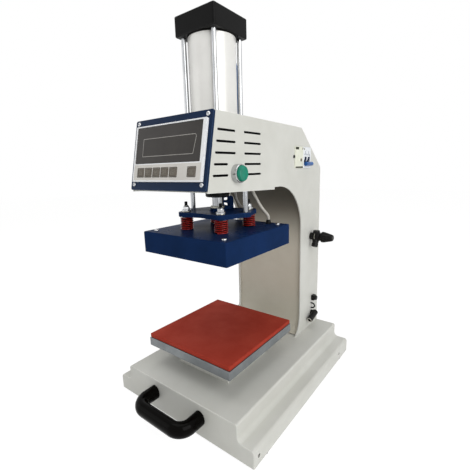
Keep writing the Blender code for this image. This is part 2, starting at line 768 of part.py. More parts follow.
def lower_platen():
    low_y = PRESS_AXIS_Y - PLATEN_DEPTH / 2
    high_y = PRESS_AXIS_Y + PLATEN_DEPTH / 2
    half = PLATEN_WIDTH / 2
    break_edges(
        box("lower_platen", "aluminium", (-half, low_y, PLATEN_Z), (half, high_y, PLATEN_TOP_Z)), EDGE_BREAK, 1
    )
    break_edges(
        box(
            "silicone_pad",
            "silicone",
            (-half + PAD_INSET, low_y + PAD_INSET, PAD_Z),
            (half - PAD_INSET, high_y - PAD_INSET, PAD_TOP_Z),
        ),
        EDGE_BREAK,
        1,
    )
    post = RISER_SIZE / 2
    foot = post + RISER_FLANGE
    foot_z = BASE_TOP_Z + CONTACT_GAP
    top_z = PLATEN_Z - CONTACT_GAP
    riser = box(
        "platen_riser",
        "painted_steel",
        (-foot, PRESS_AXIS_Y - foot, foot_z),
        (foot, PRESS_AXIS_Y + foot, foot_z + RISER_FLANGE_THICKNESS),
    )
    tower = box(
        "riser_tower",
        "painted_steel",
        (-post, PRESS_AXIS_Y - post, foot_z + RISER_FLANGE_THICKNESS / 2),
        (post, PRESS_AXIS_Y + post, top_z),
    )
    bore = post - RISER_WALL
    hollow = box(
        "riser_bore",
        "painted_steel",
        (-bore, PRESS_AXIS_Y - bore, foot_z - OVERRUN),
        (bore, PRESS_AXIS_Y + bore, top_z + OVERRUN),
    )
    unite(riser, tower)
    cut(riser, hollow)


def throat_edge(recess, lift):
    """The (y, z) edge of the throat, from a lift above the base round the arch, set back by a recess."""
    flare_centre = (COLUMN_FRONT_Y - FLARE_REACH, BASE_TOP_Z + FLARE_HEIGHT)
    radii = (FLARE_REACH + recess, FLARE_HEIGHT + recess)
    foot_angle = -math.degrees(math.asin((FLARE_HEIGHT - lift) / radii[1]))
    flare = arc(flare_centre, radii, foot_angle, 0)
    arch = arc((ARCH_CENTRE_Y, ARCH_CENTRE_Z), ARCH_RADIUS + recess, 0, 90, 2 * ARC_STEPS)
    return flare + arch


def slots():
    """Outlines of the cooling slots, front group and rear group, one row under the other."""
    found = []
    corner = SLOT_HEIGHT * SLOT_ROUND_SHARE
    for row in range(SLOT_ROWS):
        z = HEAD_TOP_Z - SLOT_TOP_DROP - row * SLOT_PITCH
        front = panel_point((z - HEAD_PLATE_Z - PANEL_DROP) / math.cos(PANEL_TILT), BEZEL_THICKNESS)[0]
        start = front + SLOT_FRONT_MARGIN
        end = BASE_FRONT_Y + (FRONT_SLOT_END if row < LONG_SLOT_ROWS else SHORT_SLOT_END)
        rear = (BASE_FRONT_Y + REAR_SLOT_START, BASE_FRONT_Y + REAR_SLOT_END)
        for low_y, high_y in ((start, end), rear):
            found.append(rectangle((low_y, z), (high_y, z + SLOT_HEIGHT), corner, SLOT_ROUND_STEPS))
    return found


BUTTON_PLACE = (BASE_FRONT_Y + BUTTON_SETBACK, HEAD_PLATE_Z + BUTTON_RISE)
BREAKER_PLACE = (BASE_FRONT_Y + BREAKER_SETBACK, HEAD_TOP_Z - BREAKER_DROP)
REGULATOR_PLACE = (COLUMN_FRONT_Y + REGULATOR_COLUMN_SHARE * COLUMN_DEPTH, HEAD_PLATE_Z - REGULATOR_DROP)
INLET_PLACE = (COLUMN_FRONT_Y + INLET_COLUMN_SHARE * COLUMN_DEPTH, BASE_TOP_Z + INLET_RISE)
FUSE_PLACE = (COLUMN_FRONT_Y + FUSE_COLUMN_SHARE * COLUMN_DEPTH, BASE_TOP_Z + FUSE_RISE)


def side_outline():
    front_low = panel_point(-PANEL_DROP, BEZEL_THICKNESS + CONTACT_GAP)
    front_top = (HEAD_TOP_FRONT_Y, HEAD_TOP_Z)
    skirt_z = HEAD_PLATE_Z - SKIRT_DEPTH
    rear = fillet(
        [
            (COLUMN_REAR_Y, BASE_TOP_Z + CONTACT_GAP, 0),
            (COLUMN_REAR_Y, CHAMFER_FOOT_Z, CHAMFER_FOOT_RADIUS),
            (HEAD_TOP_REAR_Y, HEAD_TOP_REAR_Z, TOP_REAR_RADIUS),
            (*front_top, 0),
        ],
        closed=False,
    )
    step = [(HEAD_PLATE_REAR_Y, ARCH_TOP_Z), (HEAD_PLATE_REAR_Y, skirt_z)]
    return throat_edge(0, CONTACT_GAP) + step + [front_low] + rear[::-1]


def side_plates():
    outline = side_outline()
    breaker_half = (BREAKER_WIDTH / 2 + CONTACT_GAP, BREAKER_HEIGHT / 2 + CONTACT_GAP)
    right_holes = [
        round_hole(BUTTON_PLACE, BUTTON_BARREL_RADIUS + CONTACT_GAP),
        rectangle(
            (BREAKER_PLACE[0] - breaker_half[0], BREAKER_PLACE[1] - breaker_half[1]),
            (BREAKER_PLACE[0] + breaker_half[0], BREAKER_PLACE[1] + breaker_half[1]),
        ),
        round_hole(REGULATOR_PLACE, REGULATOR_STEM_RADIUS + CONTACT_GAP),
        round_hole(INLET_PLACE, INLET_BORE_RADIUS + CONTACT_GAP),
        round_hole(FUSE_PLACE, FUSE_BODY_RADIUS + CONTACT_GAP),
    ]
    plate(
        "side_plate_right", "painted_steel", outline, "X", HEAD_INNER_HALF, HEAD_HALF, slots() + right_holes
    )
    plate("side_plate_left", "painted_steel", outline, "X", -HEAD_HALF, -HEAD_INNER_HALF, slots())


def column_front_panel():
    landing = (HEAD_PLATE_REAR_Y + CONTACT_GAP, ARCH_TOP_Z + FRONT_PANEL_RECESS)
    path = throat_edge(FRONT_PANEL_RECESS, CONTACT_GAP + COVER_PLATE_SHEET) + [landing]
    bent_sheet("column_front_panel", "painted_steel", path, SHEET_WIDTH, COVER_PLATE_SHEET, 1)


def rear_cover():
    """The sheet over the head's top, down its chamfer and down the back of the column."""
    path = fillet(
        [
            (HEAD_TOP_FRONT_Y + CONTACT_GAP, HEAD_TOP_Z, 0),
            (HEAD_TOP_REAR_Y, HEAD_TOP_REAR_Z, TOP_REAR_RADIUS),
            (COLUMN_REAR_Y, CHAMFER_FOOT_Z, CHAMFER_FOOT_RADIUS),
            (COLUMN_REAR_Y, BASE_TOP_Z + CONTACT_GAP, 0),
        ],
        closed=False,
    )
    cover = bent_sheet("rear_cover", "painted_steel", path, SHEET_WIDTH, COVER_PLATE_SHEET, -1)
    half = CAP_SIZE / 2 + CYLINDER_OPENING_CLEARANCE
    opening = box(
        "cylinder_opening",
        "painted_steel",
        (-half, PRESS_AXIS_Y - half, HEAD_TOP_Z - HEAD_TOP_FALL - 2 * OVERRUN),
        (half, PRESS_AXIS_Y + half, HEAD_TOP_Z + OVERRUN),
    )
    hose_x, hose_y = hose_entry()
    hose_hole = rod(
        "hose_hole",
        "painted_steel",
        (hose_x, hose_y, HEAD_TOP_Z - 2 * OVERRUN),
        (hose_x, hose_y, HEAD_TOP_Z + OVERRUN),
        HOSE_RADIUS + CONTACT_GAP,
        SMALL_ROUND_STEPS,
    )
    cut(cover, opening, hose_hole)


def head_plate():
    """The thick plate under the head that carries the cylinder and the guide bushes."""
    front_y = panel_point(0, BEZEL_THICKNESS)[0] + 2 * CONTACT_GAP + COVER_PLATE_SHEET
    half = HEAD_INNER_HALF - CONTACT_GAP
    carrier = box(
        "head_plate",
        "painted_steel",
        (-half, front_y, HEAD_PLATE_Z),
        (half, HEAD_PLATE_REAR_Y, HEAD_PLATE_TOP_Z),
    )
    top = HEAD_PLATE_TOP_Z + BUSH_HEIGHT
    bushes, bores = [], []
    for side, x in (("left", -GUIDE_OFFSET), ("right", GUIDE_OFFSET)):
        low = (x, PRESS_AXIS_Y, HEAD_PLATE_Z + HEAD_PLATE_THICKNESS / 2)
        bushes.append(rod(f"bush_{side}", "painted_steel", low, (x, PRESS_AXIS_Y, top), BUSH_RADIUS))
        bores.append(
            rod(
                f"bush_bore_{side}",
                "painted_steel",
                (x, PRESS_AXIS_Y, HEAD_PLATE_Z - OVERRUN),
                (x, PRESS_AXIS_Y, top + OVERRUN),
                SLEEVE_RADIUS + RUNNING_GAP,
            )
        )
    neck = rod(
        "neck_hole",
        "painted_steel",
        (0, PRESS_AXIS_Y, HEAD_PLATE_Z - OVERRUN),
        (0, PRESS_AXIS_Y, HEAD_PLATE_TOP_Z + OVERRUN),
        NECK_RADIUS + CONTACT_GAP,
    )
    lead_holes = [
        rod(
            f"lead_hole_{i}",
            "painted_steel",
            (x, PRESS_AXIS_Y + y, HEAD_PLATE_Z - OVERRUN),
            (x, PRESS_AXIS_Y + y, HEAD_PLATE_TOP_Z + OVERRUN),
            radius + CONTACT_GAP,
            SMALL_ROUND_STEPS,
        )
        for i, ((x, y), radius) in enumerate(
            ((HEATER_LEAD_TOP, HEATER_LEAD_RADIUS), (SENSOR_LEAD_TOP, SENSOR_LEAD_RADIUS))
        )
    ]
    unite(carrier, *bushes)
    cut(carrier, *bores, neck, *lead_holes)


def port_elbow():
    """Where the upper cap's elbow leaves the cap, where it bends and where its hose starts."""
    port = Vector((0, PRESS_AXIS_Y + CAP_SIZE / 2, REAR_CAP_TOP_Z - ELBOW_PORT_DROP))
    bend = port + Vector((0, ELBOW_REACH, 0))
    outlet_end = bend - Vector((0, 0, ELBOW_DROP))
    return port, bend, outlet_end


def cylinder_cap(name, low_z):
    half = CAP_SIZE / 2
    outline = rectangle(
        (-half, PRESS_AXIS_Y - half), (half, PRESS_AXIS_Y + half), CAP_CORNER_RADIUS, CORNER_STEPS
    )
    holes = [
        round_hole((x, PRESS_AXIS_Y + y), TIE_ROD_RADIUS + CONTACT_GAP)
        for x in (-TIE_ROD_OFFSET, TIE_ROD_OFFSET)
        for y in (-TIE_ROD_OFFSET, TIE_ROD_OFFSET)
    ]
    return plate(name, "black_plastic", outline, "Z", low_z, low_z + CAP_HEIGHT, holes)


def cylinder():
    front = cylinder_cap("cylinder_front_cap", FRONT_CAP_Z)
    neck_low = HEAD_PLATE_Z - NECK_PROUD
    neck = rod(
        "cylinder_neck",
        "black_plastic",
        (0, PRESS_AXIS_Y, neck_low),
        (0, PRESS_AXIS_Y, FRONT_CAP_Z + CAP_HEIGHT / 2),
        NECK_RADIUS,
    )
    bore = rod(
        "rod_bore",
        "black_plastic",
        (0, PRESS_AXIS_Y, neck_low - OVERRUN),
        (0, PRESS_AXIS_Y, FRONT_CAP_Z + CAP_HEIGHT + OVERRUN),
        ROD_RADIUS + RUNNING_GAP,
    )
    unite(front, neck)
    cut(front, bore)
    rear = cylinder_cap("cylinder_rear_cap", REAR_CAP_Z)
    port, bend, outlet_end = port_elbow()
    shank = rod(
        "elbow_shank",
        "black_plastic",
        port - Vector((0, OVERRUN, 0)),
        bend + Vector((0, ELBOW_RADIUS, 0)),
        ELBOW_RADIUS,
        SMALL_ROUND_STEPS,
    )
    outlet = rod("elbow_outlet", "black_plastic", bend, outlet_end, ELBOW_OUTLET_RADIUS, SMALL_ROUND_STEPS)
    unite(rear, shank, outlet)
    inner = BARREL_RADIUS - BARREL_WALL
    turned(
        "cylinder_barrel",
        "anodised_tube",
        [(BARREL_RADIUS, BARREL_LENGTH), (BARREL_RADIUS, 0), (inner, 0), (inner, BARREL_LENGTH)],
        (0, PRESS_AXIS_Y, BARREL_Z),
        closed=True,
        steps=BARREL_STEPS,
    )
    number = 1
    for y in (-TIE_ROD_OFFSET, TIE_ROD_OFFSET):
        for x in (-TIE_ROD_OFFSET, TIE_ROD_OFFSET):
            rod(
                f"tie_rod_{number}",
                "chrome",
                (x, PRESS_AXIS_Y + y, FRONT_CAP_Z),
                (x, PRESS_AXIS_Y + y, REAR_CAP_TOP_Z),
                TIE_ROD_RADIUS,
                SMALL_ROUND_STEPS,
            )
            number += 1
    piston_top = REAR_CAP_Z - 2 * CONTACT_GAP
    piston_low = piston_top - PISTON_THICKNESS
    piston = inner - CONTACT_GAP
    turned(
        "piston_rod",
        "chrome",
        [
            (0, piston_top),
            (piston, piston_top),
            (piston, piston_low),
            (ROD_RADIUS, piston_low),
            (ROD_RADIUS, PRESSURE_PLATE_Z),
            (0, PRESSURE_PLATE_Z),
        ],
        (0, PRESS_AXIS_Y, 0),
    )


def pressure_plate():
    """The plate that the cylinder pushes, with an ear for each spring bolt and each guide rod."""
    spring, guide = SPRING_OFFSET, GUIDE_OFFSET
    waist = spring + SPRING_EAR_RADIUS - PLATE_WAIST

    def ear(x, y, radius, start, end):
        return arc((x, PRESS_AXIS_Y + y), radius, start, end)

    outline = (
        ear(guide, 0, GUIDE_EAR_RADIUS, -60, 60)
        + ear(spring, spring, SPRING_EAR_RADIUS, 0, 100)
        + [(0, PRESS_AXIS_Y + waist)]
        + ear(-spring, spring, SPRING_EAR_RADIUS, 80, 180)
        + ear(-guide, 0, GUIDE_EAR_RADIUS, 120, 240)
        + ear(-spring, -spring, SPRING_EAR_RADIUS, 180, 280)
        + [(0, PRESS_AXIS_Y - waist)]
        + ear(spring, -spring, SPRING_EAR_RADIUS, 260, 360)
    )
    holes = [
        round_hole((x, PRESS_AXIS_Y + y), BOLT_RADIUS + CONTACT_GAP)
        for x in (-spring, spring)
        for y in (-spring, spring)
    ]
    holes += [round_hole((x, PRESS_AXIS_Y), GUIDE_ROD_RADIUS + CONTACT_GAP) for x in (-guide, guide)]
    pusher = plate(
        "pressure_plate", "navy_paint", outline, "Z", PRESSURE_PLATE_Z, PRESSURE_PLATE_TOP_Z, holes
    )
    hub_radius = ROD_RADIUS + CONTACT_GAP + HUB_WALL
    middle_z = (PRESSURE_PLATE_Z + PRESSURE_PLATE_TOP_Z) / 2
    hub = rod(
        "plate_hub",
        "navy_paint",
        (0, PRESS_AXIS_Y, middle_z),
        (0, PRESS_AXIS_Y, PRESSURE_PLATE_TOP_Z + HUB_HEIGHT),
        hub_radius,
    )
    rib_y, rib_end = PRESS_AXIS_Y + ROD_RADIUS + HUB_WALL / 2, PRESS_AXIS_Y + RIB_REACH
    rib_top = PRESSURE_PLATE_TOP_Z + RIB_HEIGHT
    rib_outline = fillet(
        [
            (rib_y, PRESSURE_PLATE_Z + RIB_SEAT, 0),
            (rib_end, PRESSURE_PLATE_Z + RIB_SEAT, 0),
            (rib_end, rib_top, RIB_SHOULDER),
            (rib_y, rib_top, 0),
        ]
    )
    slot_y = (PRESS_AXIS_Y + RIB_SLOT_START, PRESS_AXIS_Y + RIB_SLOT_END)
    upper = rib_top - RIB_SLOT_DROP
    lower = upper - RIB_SLOT_PITCH
    corner = RIB_SLOT * RIB_SLOT_ROUND_SHARE
    rib_slots = [
        rectangle((slot_y[0], upper - RIB_SLOT), (slot_y[1], upper), corner),
        fillet(
            [
                (slot_y[0], lower - RIB_SLOT / 2, corner),
                (slot_y[1], lower - RIB_SLOT / 2 - RIB_SLOT_FALL, corner),
                (slot_y[1], lower - RIB_SLOT_FALL / 2, corner),
                (slot_y[0], lower + RIB_SLOT_FALL / 2, corner),
            ]
        ),
    ]
    rib = plate("plate_rib", "navy_paint", rib_outline, "X", -RIB_THICKNESS / 2, RIB_THICKNESS / 2, rib_slots)
    bore = rod(
        "hub_bore",
        "navy_paint",
        (0, PRESS_AXIS_Y, PRESSURE_PLATE_Z - OVERRUN),
        (0, PRESS_AXIS_Y, PRESSURE_PLATE_TOP_Z + RIB_HEIGHT + OVERRUN),
        ROD_RADIUS + CONTACT_GAP,
    )
    unite(pusher, hub, rib)
    cut(pusher, bore)


def guides():
    sleeve_low = HEAD_PLATE_Z + CONTACT_GAP
    sleeve_inner = GUIDE_ROD_RADIUS + RUNNING_GAP
    for side, x in (("left", -GUIDE_OFFSET), ("right", GUIDE_OFFSET)):
        turned(
            f"guide_sleeve_{side}",
            "steel",
            [
                (SLEEVE_RADIUS, SLEEVE_LENGTH),
                (SLEEVE_RADIUS, 0),
                (sleeve_inner, 0),
                (sleeve_inner, SLEEVE_LENGTH),
            ],
            (x, PRESS_AXIS_Y, sleeve_low),
            closed=True,
            steps=SLIM_ROUND_STEPS,
        )
        rod(
            f"guide_rod_{side}",
            "chrome",
            (x, PRESS_AXIS_Y, PRESSURE_PLATE_Z),
            (x, PRESS_AXIS_Y, sleeve_low + SLEEVE_LENGTH + GUIDE_ROD_ABOVE_SLEEVE),
            GUIDE_ROD_RADIUS,
            SLIM_ROUND_STEPS,
        )


def spring_path():
    """Centre-line of one spring about the origin, from its straight lower end up to its straight upper end."""
    wire = 2 * SPRING_WIRE_RADIUS
    low = SPRING_WIRE_RADIUS
    rise = SPRING_LENGTH - wire
    steps = SPRING_CURLS * POINTS_PER_CURL
    points = [
        Vector(
            (
                SPRING_RADIUS * math.cos(2 * math.pi * i / POINTS_PER_CURL),
                SPRING_RADIUS * math.sin(2 * math.pi * i / POINTS_PER_CURL),
                low + rise * i / steps,
            )
        )
        for i in range(steps + 1)
    ]
    tangent = Vector((0, 1, 0))
    return [points[0] - tangent * wire, *points, points[-1] + tangent * wire]


def least_self_gap(points):
    """The least clear gap between one curl of a spring and the next, measured between centre-line points."""
    least = math.inf
    for i, first in enumerate(points):
        for second in points[i + POINTS_PER_CURL // 2 :]:
            least = min(least, (first - second).length)
    return least - 2 * SPRING_WIRE_RADIUS


def spring_places():
    """The (name number, x, y) of each spring and its bolt."""
    number = 1
    for y in (-SPRING_OFFSET, SPRING_OFFSET):
        for x in (-SPRING_OFFSET, SPRING_OFFSET):
            yield number, x, PRESS_AXIS_Y + y
            number += 1


def springs():
    path = spring_path()
    print(f"Least gap of a spring to itself: {least_self_gap(path) / MM:.2f} mm")
    for number, x, y in spring_places():
        place = Vector((x, y, SPRING_Z))
        tube(f"spring_{number}", "spring_red", [place + point for point in path], SPRING_WIRE_RADIUS, 1)


def spring_bolts():
    low = COVER_TOP_Z - COVER_SHEET
    washer_z = PRESSURE_PLATE_TOP_Z + CONTACT_GAP
    nut_z = washer_z + WASHER_THICKNESS
    top = nut_z + NUT_HEIGHT + BOLT_TAIL
    for number, x, y in spring_places():
        turned(
            f"spring_bolt_{number}",
            "steel",
            [
                (0, top),
                (BOLT_RADIUS - EDGE_BREAK, top),
                (BOLT_RADIUS, top - EDGE_BREAK),
                (BOLT_RADIUS, nut_z + NUT_HEIGHT),
                (NUT_RADIUS - EDGE_BREAK, nut_z + NUT_HEIGHT),
                (NUT_RADIUS, nut_z + NUT_HEIGHT - EDGE_BREAK),
                (NUT_RADIUS, nut_z),
                (WASHER_RADIUS, nut_z),
                (WASHER_RADIUS, washer_z),
                (BOLT_RADIUS, washer_z),
                (BOLT_RADIUS, low),
                (0, low),
            ],
            (x, y, 0),
            steps=SMALL_ROUND_STEPS,
        )


def heat_platen():
    half_x, half_y = HEATER_WIDTH / 2, HEATER_DEPTH / 2
    block = box(
        "heater_block",
        "aluminium",
        (-half_x, PRESS_AXIS_Y - half_y, HEATER_Z),
        (half_x, PRESS_AXIS_Y + half_y, HEATER_Z + HEATER_THICKNESS),
    )
    pillar_low = HEATER_Z + HEATER_THICKNESS / 2
    ceiling = COVER_TOP_Z - COVER_SHEET
    screw_x, screw_y = COVER_WIDTH / 2 - COVER_SCREW_INSET, COVER_DEPTH / 2 - COVER_SCREW_INSET
    places = [(x, y) for _, x, y in spring_places()]
    places += [(x, PRESS_AXIS_Y + y) for x in (-screw_x, screw_x) for y in (-screw_y, screw_y)]
    pillars = [
        rod(
            f"pillar_{i}",
            "aluminium",
            (x, y, pillar_low),
            (x, y, ceiling - CONTACT_GAP),
            PILLAR_RADIUS,
            SMALL_ROUND_STEPS,
        )
        for i, (x, y) in enumerate(places)
    ]
    unite(block, *pillars)
    outer_x, outer_y = COVER_WIDTH / 2, COVER_DEPTH / 2
    cover = box(
        "heater_cover",
        "navy_paint",
        (-outer_x, PRESS_AXIS_Y - outer_y, COVER_Z - 2 * COVER_EDGE_RADIUS),
        (outer_x, PRESS_AXIS_Y + outer_y, COVER_TOP_Z),
    )
    break_edges(cover, COVER_EDGE_RADIUS, 2)
    trim = box(
        "cover_trim",
        "navy_paint",
        (-outer_x - OVERRUN, PRESS_AXIS_Y - outer_y - OVERRUN, COVER_Z - OVERRUN),
        (outer_x + OVERRUN, PRESS_AXIS_Y + outer_y + OVERRUN, COVER_Z),
    )
    inner_x, inner_y = outer_x - COVER_SHEET, outer_y - COVER_SHEET
    hollow = box(
        "cover_hollow",
        "navy_paint",
        (-inner_x, PRESS_AXIS_Y - inner_y, COVER_Z - 2 * OVERRUN),
        (inner_x, PRESS_AXIS_Y + inner_y, ceiling),
    )
    bolt_holes = [
        rod(
            f"cover_bolt_hole_{number}",
            "navy_paint",
            (x, y, ceiling - OVERRUN),
            (x, y, COVER_TOP_Z + OVERRUN),
            BOLT_RADIUS + CONTACT_GAP,
            SMALL_ROUND_STEPS,
        )
        for number, x, y in spring_places()
    ]
    glands = [
        rod(
            f"lead_gland_{i}",
            "black_plastic",
            (x, PRESS_AXIS_Y + y, COVER_TOP_Z - COVER_SHEET / 2),
            (x, PRESS_AXIS_Y + y, COVER_TOP_Z + GLAND_HEIGHT),
            GLAND_RADIUS,
            SMALL_ROUND_STEPS,
        )
        for i, (x, y) in enumerate((HEATER_GLAND_PLACE, SENSOR_GLAND_PLACE))
    ]
    cut(cover, hollow, trim)
    unite(cover, *glands)
    cut(cover, *bolt_holes)


def lead(name, material, top_place, gland_place, radius, bows):
    """A lead from the head plate down to its gland. Each bow is a (sideways, back, down) share of the span."""
    top = Vector((top_place[0], PRESS_AXIS_Y + top_place[1], HEAD_PLATE_TOP_Z))
    below = Vector((top.x, top.y, HEAD_PLATE_Z - LEAD_STRAIGHT))
    gland_z = COVER_TOP_Z + GLAND_HEIGHT + CONTACT_GAP
    gland = Vector((gland_place[0], PRESS_AXIS_Y + gland_place[1], gland_z))
    above = gland + Vector((0, 0, LEAD_GLAND_STRAIGHT))
    span = above - below
    bends = [below + Vector((span.x * side, span.y * back, span.z * down)) for side, back, down in bows]
    tube(name, material, smooth_route([top, below, *bends, above, gland], ROUTE_STEPS), radius, 2)


def leads():
    lead(
        "heater_lead",
        "lead_grey",
        HEATER_LEAD_TOP,
        HEATER_GLAND_PLACE,
        HEATER_LEAD_RADIUS,
        HEATER_LEAD_BOW_SHARES,
    )
    lead(
        "sensor_lead",
        "lead_grey",
        SENSOR_LEAD_TOP,
        SENSOR_GLAND_PLACE,
        SENSOR_LEAD_RADIUS,
        SENSOR_LEAD_BOW_SHARES,
    )


def hose_entry():
    return HOSE_ENTRY_X, PRESS_AXIS_Y + CAP_SIZE / 2 + HOSE_ENTRY_CLEARANCE


def air_hose():
    """The hose from the upper cap's elbow down into the head."""
    start = port_elbow()[-1] - Vector((0, 0, CONTACT_GAP))
    x, y = hose_entry()
    end = Vector((x, y, HEAD_TOP_Z - HEAD_TOP_FALL - OVERRUN))
    span = end - start
    straight = Vector((0, 0, 2 * HOSE_RADIUS))
    route = [
        start,
        start - straight,
        *[start + span * Vector(shares) for shares in HOSE_BOW_SHARES],
        end + straight,
        end,
    ]
    tube("air_hose", "hose_blue", smooth_route(route, ROUTE_STEPS), HOSE_RADIUS, 2)


def panel_frame():
    """An empty on the control panel's face, bottom centre: X across, Y up the slope, Z out of the panel."""
    frame = bpy.data.objects.new("control_panel_frame", None)
    y, z = panel_point(0, 0)
    frame.location = (0, y, z)
    frame.rotation_euler = (math.pi / 2 - PANEL_TILT, 0, 0)
    PARTS.objects.link(frame)
    return frame


def control_panel():
    frame = panel_frame()

    def seated(thing):
        thing.parent = frame
        return thing

    def block(name, material, low, high):
        return seated(box(name, material, low, high))

    face_half = HEAD_HALF - BEZEL_SIDE
    face_low, face_high = BEZEL_BOTTOM, PANEL_HEIGHT - BEZEL_TOP
    bezel = plate(
        "control_bezel",
        "navy_paint",
        rectangle((-HEAD_HALF, 0), (HEAD_HALF, PANEL_HEIGHT), BEZEL_CORNER_RADIUS),
        "Z",
        -BEZEL_THICKNESS,
        0,
        [rectangle((-face_half, face_low), (face_half, face_high))],
    )
    seated(break_edges(bezel, EDGE_BREAK, 1, 60))
    outer = face_half - CONTACT_GAP
    low, high = face_low + CONTACT_GAP, face_high - CONTACT_GAP
    back = KEYPAD_PROUD - KEYPAD_DEPTH
    keypad = block("keypad_panel", "panel_white", (-outer, low, back), (outer, high, KEYPAD_PROUD))
    tray = block(
        "keypad_hollow",
        "panel_white",
        (-outer + KEYPAD_WALL, low + KEYPAD_WALL, back - OVERRUN),
        (outer - KEYPAD_WALL, high - KEYPAD_WALL, KEYPAD_PROUD - KEYPAD_WALL),
    )
    window_low = (-outer + WINDOW_LEFT_MARGIN, low + KEY_STRIP_HEIGHT)
    window_high = (outer - WINDOW_RIGHT_MARGIN, high - WINDOW_TOP_MARGIN)
    window_hole = block(
        "window_hole",
        "panel_white",
        (*window_low, KEYPAD_PROUD - KEYPAD_WALL - OVERRUN),
        (*window_high, KEYPAD_PROUD + OVERRUN),
    )
    key_pitch = 2 * (outer - KEY_ROW_MARGIN) / KEY_COLUMN_COUNT
    key_half = (key_pitch - KEY_GAP) / 2
    key_y = low + KEY_STRIP_HEIGHT / 2
    key_holes = []
    for number, column in enumerate(KEY_COLUMNS, 1):
        x = -outer + KEY_ROW_MARGIN + key_pitch * (column + KEY_MIDDLE_SHARE)
        key_holes.append(
            block(
                f"key_hole_{number}",
                "panel_white",
                (
                    x - key_half - CONTACT_GAP,
                    key_y - KEY_HEIGHT / 2 - CONTACT_GAP,
                    KEYPAD_PROUD - KEYPAD_WALL - OVERRUN,
                ),
                (x + key_half + CONTACT_GAP, key_y + KEY_HEIGHT / 2 + CONTACT_GAP, KEYPAD_PROUD + OVERRUN),
            )
        )
        flange_top = KEYPAD_PROUD - KEYPAD_WALL - CONTACT_GAP
        cap = block(
            f"key_{number}",
            "key_grey",
            (x - key_half, key_y - KEY_HEIGHT / 2, flange_top - KEY_FLANGE / 2),
            (x + key_half, key_y + KEY_HEIGHT / 2, KEYPAD_PROUD + KEY_PROUD),
        )
        flange = block(
            f"key_flange_{number}",
            "key_grey",
            (x - key_half - KEY_FLANGE, key_y - KEY_HEIGHT / 2 - KEY_FLANGE, flange_top - KEY_FLANGE),
            (x + key_half + KEY_FLANGE, key_y + KEY_HEIGHT / 2 + KEY_FLANGE, flange_top),
        )
        unite(cap, flange)
    cut(keypad, tray, window_hole, *key_holes)
    block(
        "display_window",
        "dark_window",
        (
            window_low[0] + CONTACT_GAP,
            window_low[1] + CONTACT_GAP,
            KEYPAD_PROUD - WINDOW_RECESS - WINDOW_THICKNESS,
        ),
        (window_high[0] - CONTACT_GAP, window_high[1] - CONTACT_GAP, KEYPAD_PROUD - WINDOW_RECESS),
    )
    board_z = back - CONTACT_GAP
    block(
        "control_board", "circuit_green", (-outer, low, board_z - BOARD_THICKNESS), (outer, high, board_z)
    )


def on_side(place, reach):
    """A point on the right side plate at a (y, z) place, reaching out of its face."""
    return Vector((HEAD_HALF + reach, *place))


def start_button():
    lip = BUTTON_CAP_RADIUS + 2 * CONTACT_GAP
    stem_bore = BUTTON_STEM_RADIUS + CONTACT_GAP
    top = CONTACT_GAP + BUTTON_BEZEL_HEIGHT
    turned(
        "start_button_bezel",
        "chrome",
        [
            (BUTTON_BEZEL_RADIUS - EDGE_BREAK, top),
            (BUTTON_BEZEL_RADIUS, top - EDGE_BREAK),
            (BUTTON_BEZEL_RADIUS, CONTACT_GAP),
            (BUTTON_BARREL_RADIUS, CONTACT_GAP),
            (BUTTON_BARREL_RADIUS, -BUTTON_BARREL_DEPTH),
            (stem_bore, -BUTTON_BARREL_DEPTH),
            (stem_bore, BUTTON_FLOOR),
            (lip, BUTTON_FLOOR),
            (lip, top),
        ],
        on_side(BUTTON_PLACE, 0),
        direction=(1, 0, 0),
        closed=True,
    )
    skirt = BUTTON_FLOOR + CONTACT_GAP + BUTTON_TRAVEL
    stem_end = BUTTON_TRAVEL + CONTACT_GAP - BUTTON_BARREL_DEPTH
    turned(
        "start_button_cap",
        "button_green",
        [
            (0, BUTTON_REACH),
            (BUTTON_CAP_RADIUS - EDGE_BREAK, BUTTON_REACH),
            (BUTTON_CAP_RADIUS, BUTTON_REACH - EDGE_BREAK),
            (BUTTON_CAP_RADIUS, skirt),
            (BUTTON_STEM_RADIUS, skirt),
            (BUTTON_STEM_RADIUS, stem_end),
            (0, stem_end),
        ],
        on_side(BUTTON_PLACE, 0),
        direction=(1, 0, 0),
    )


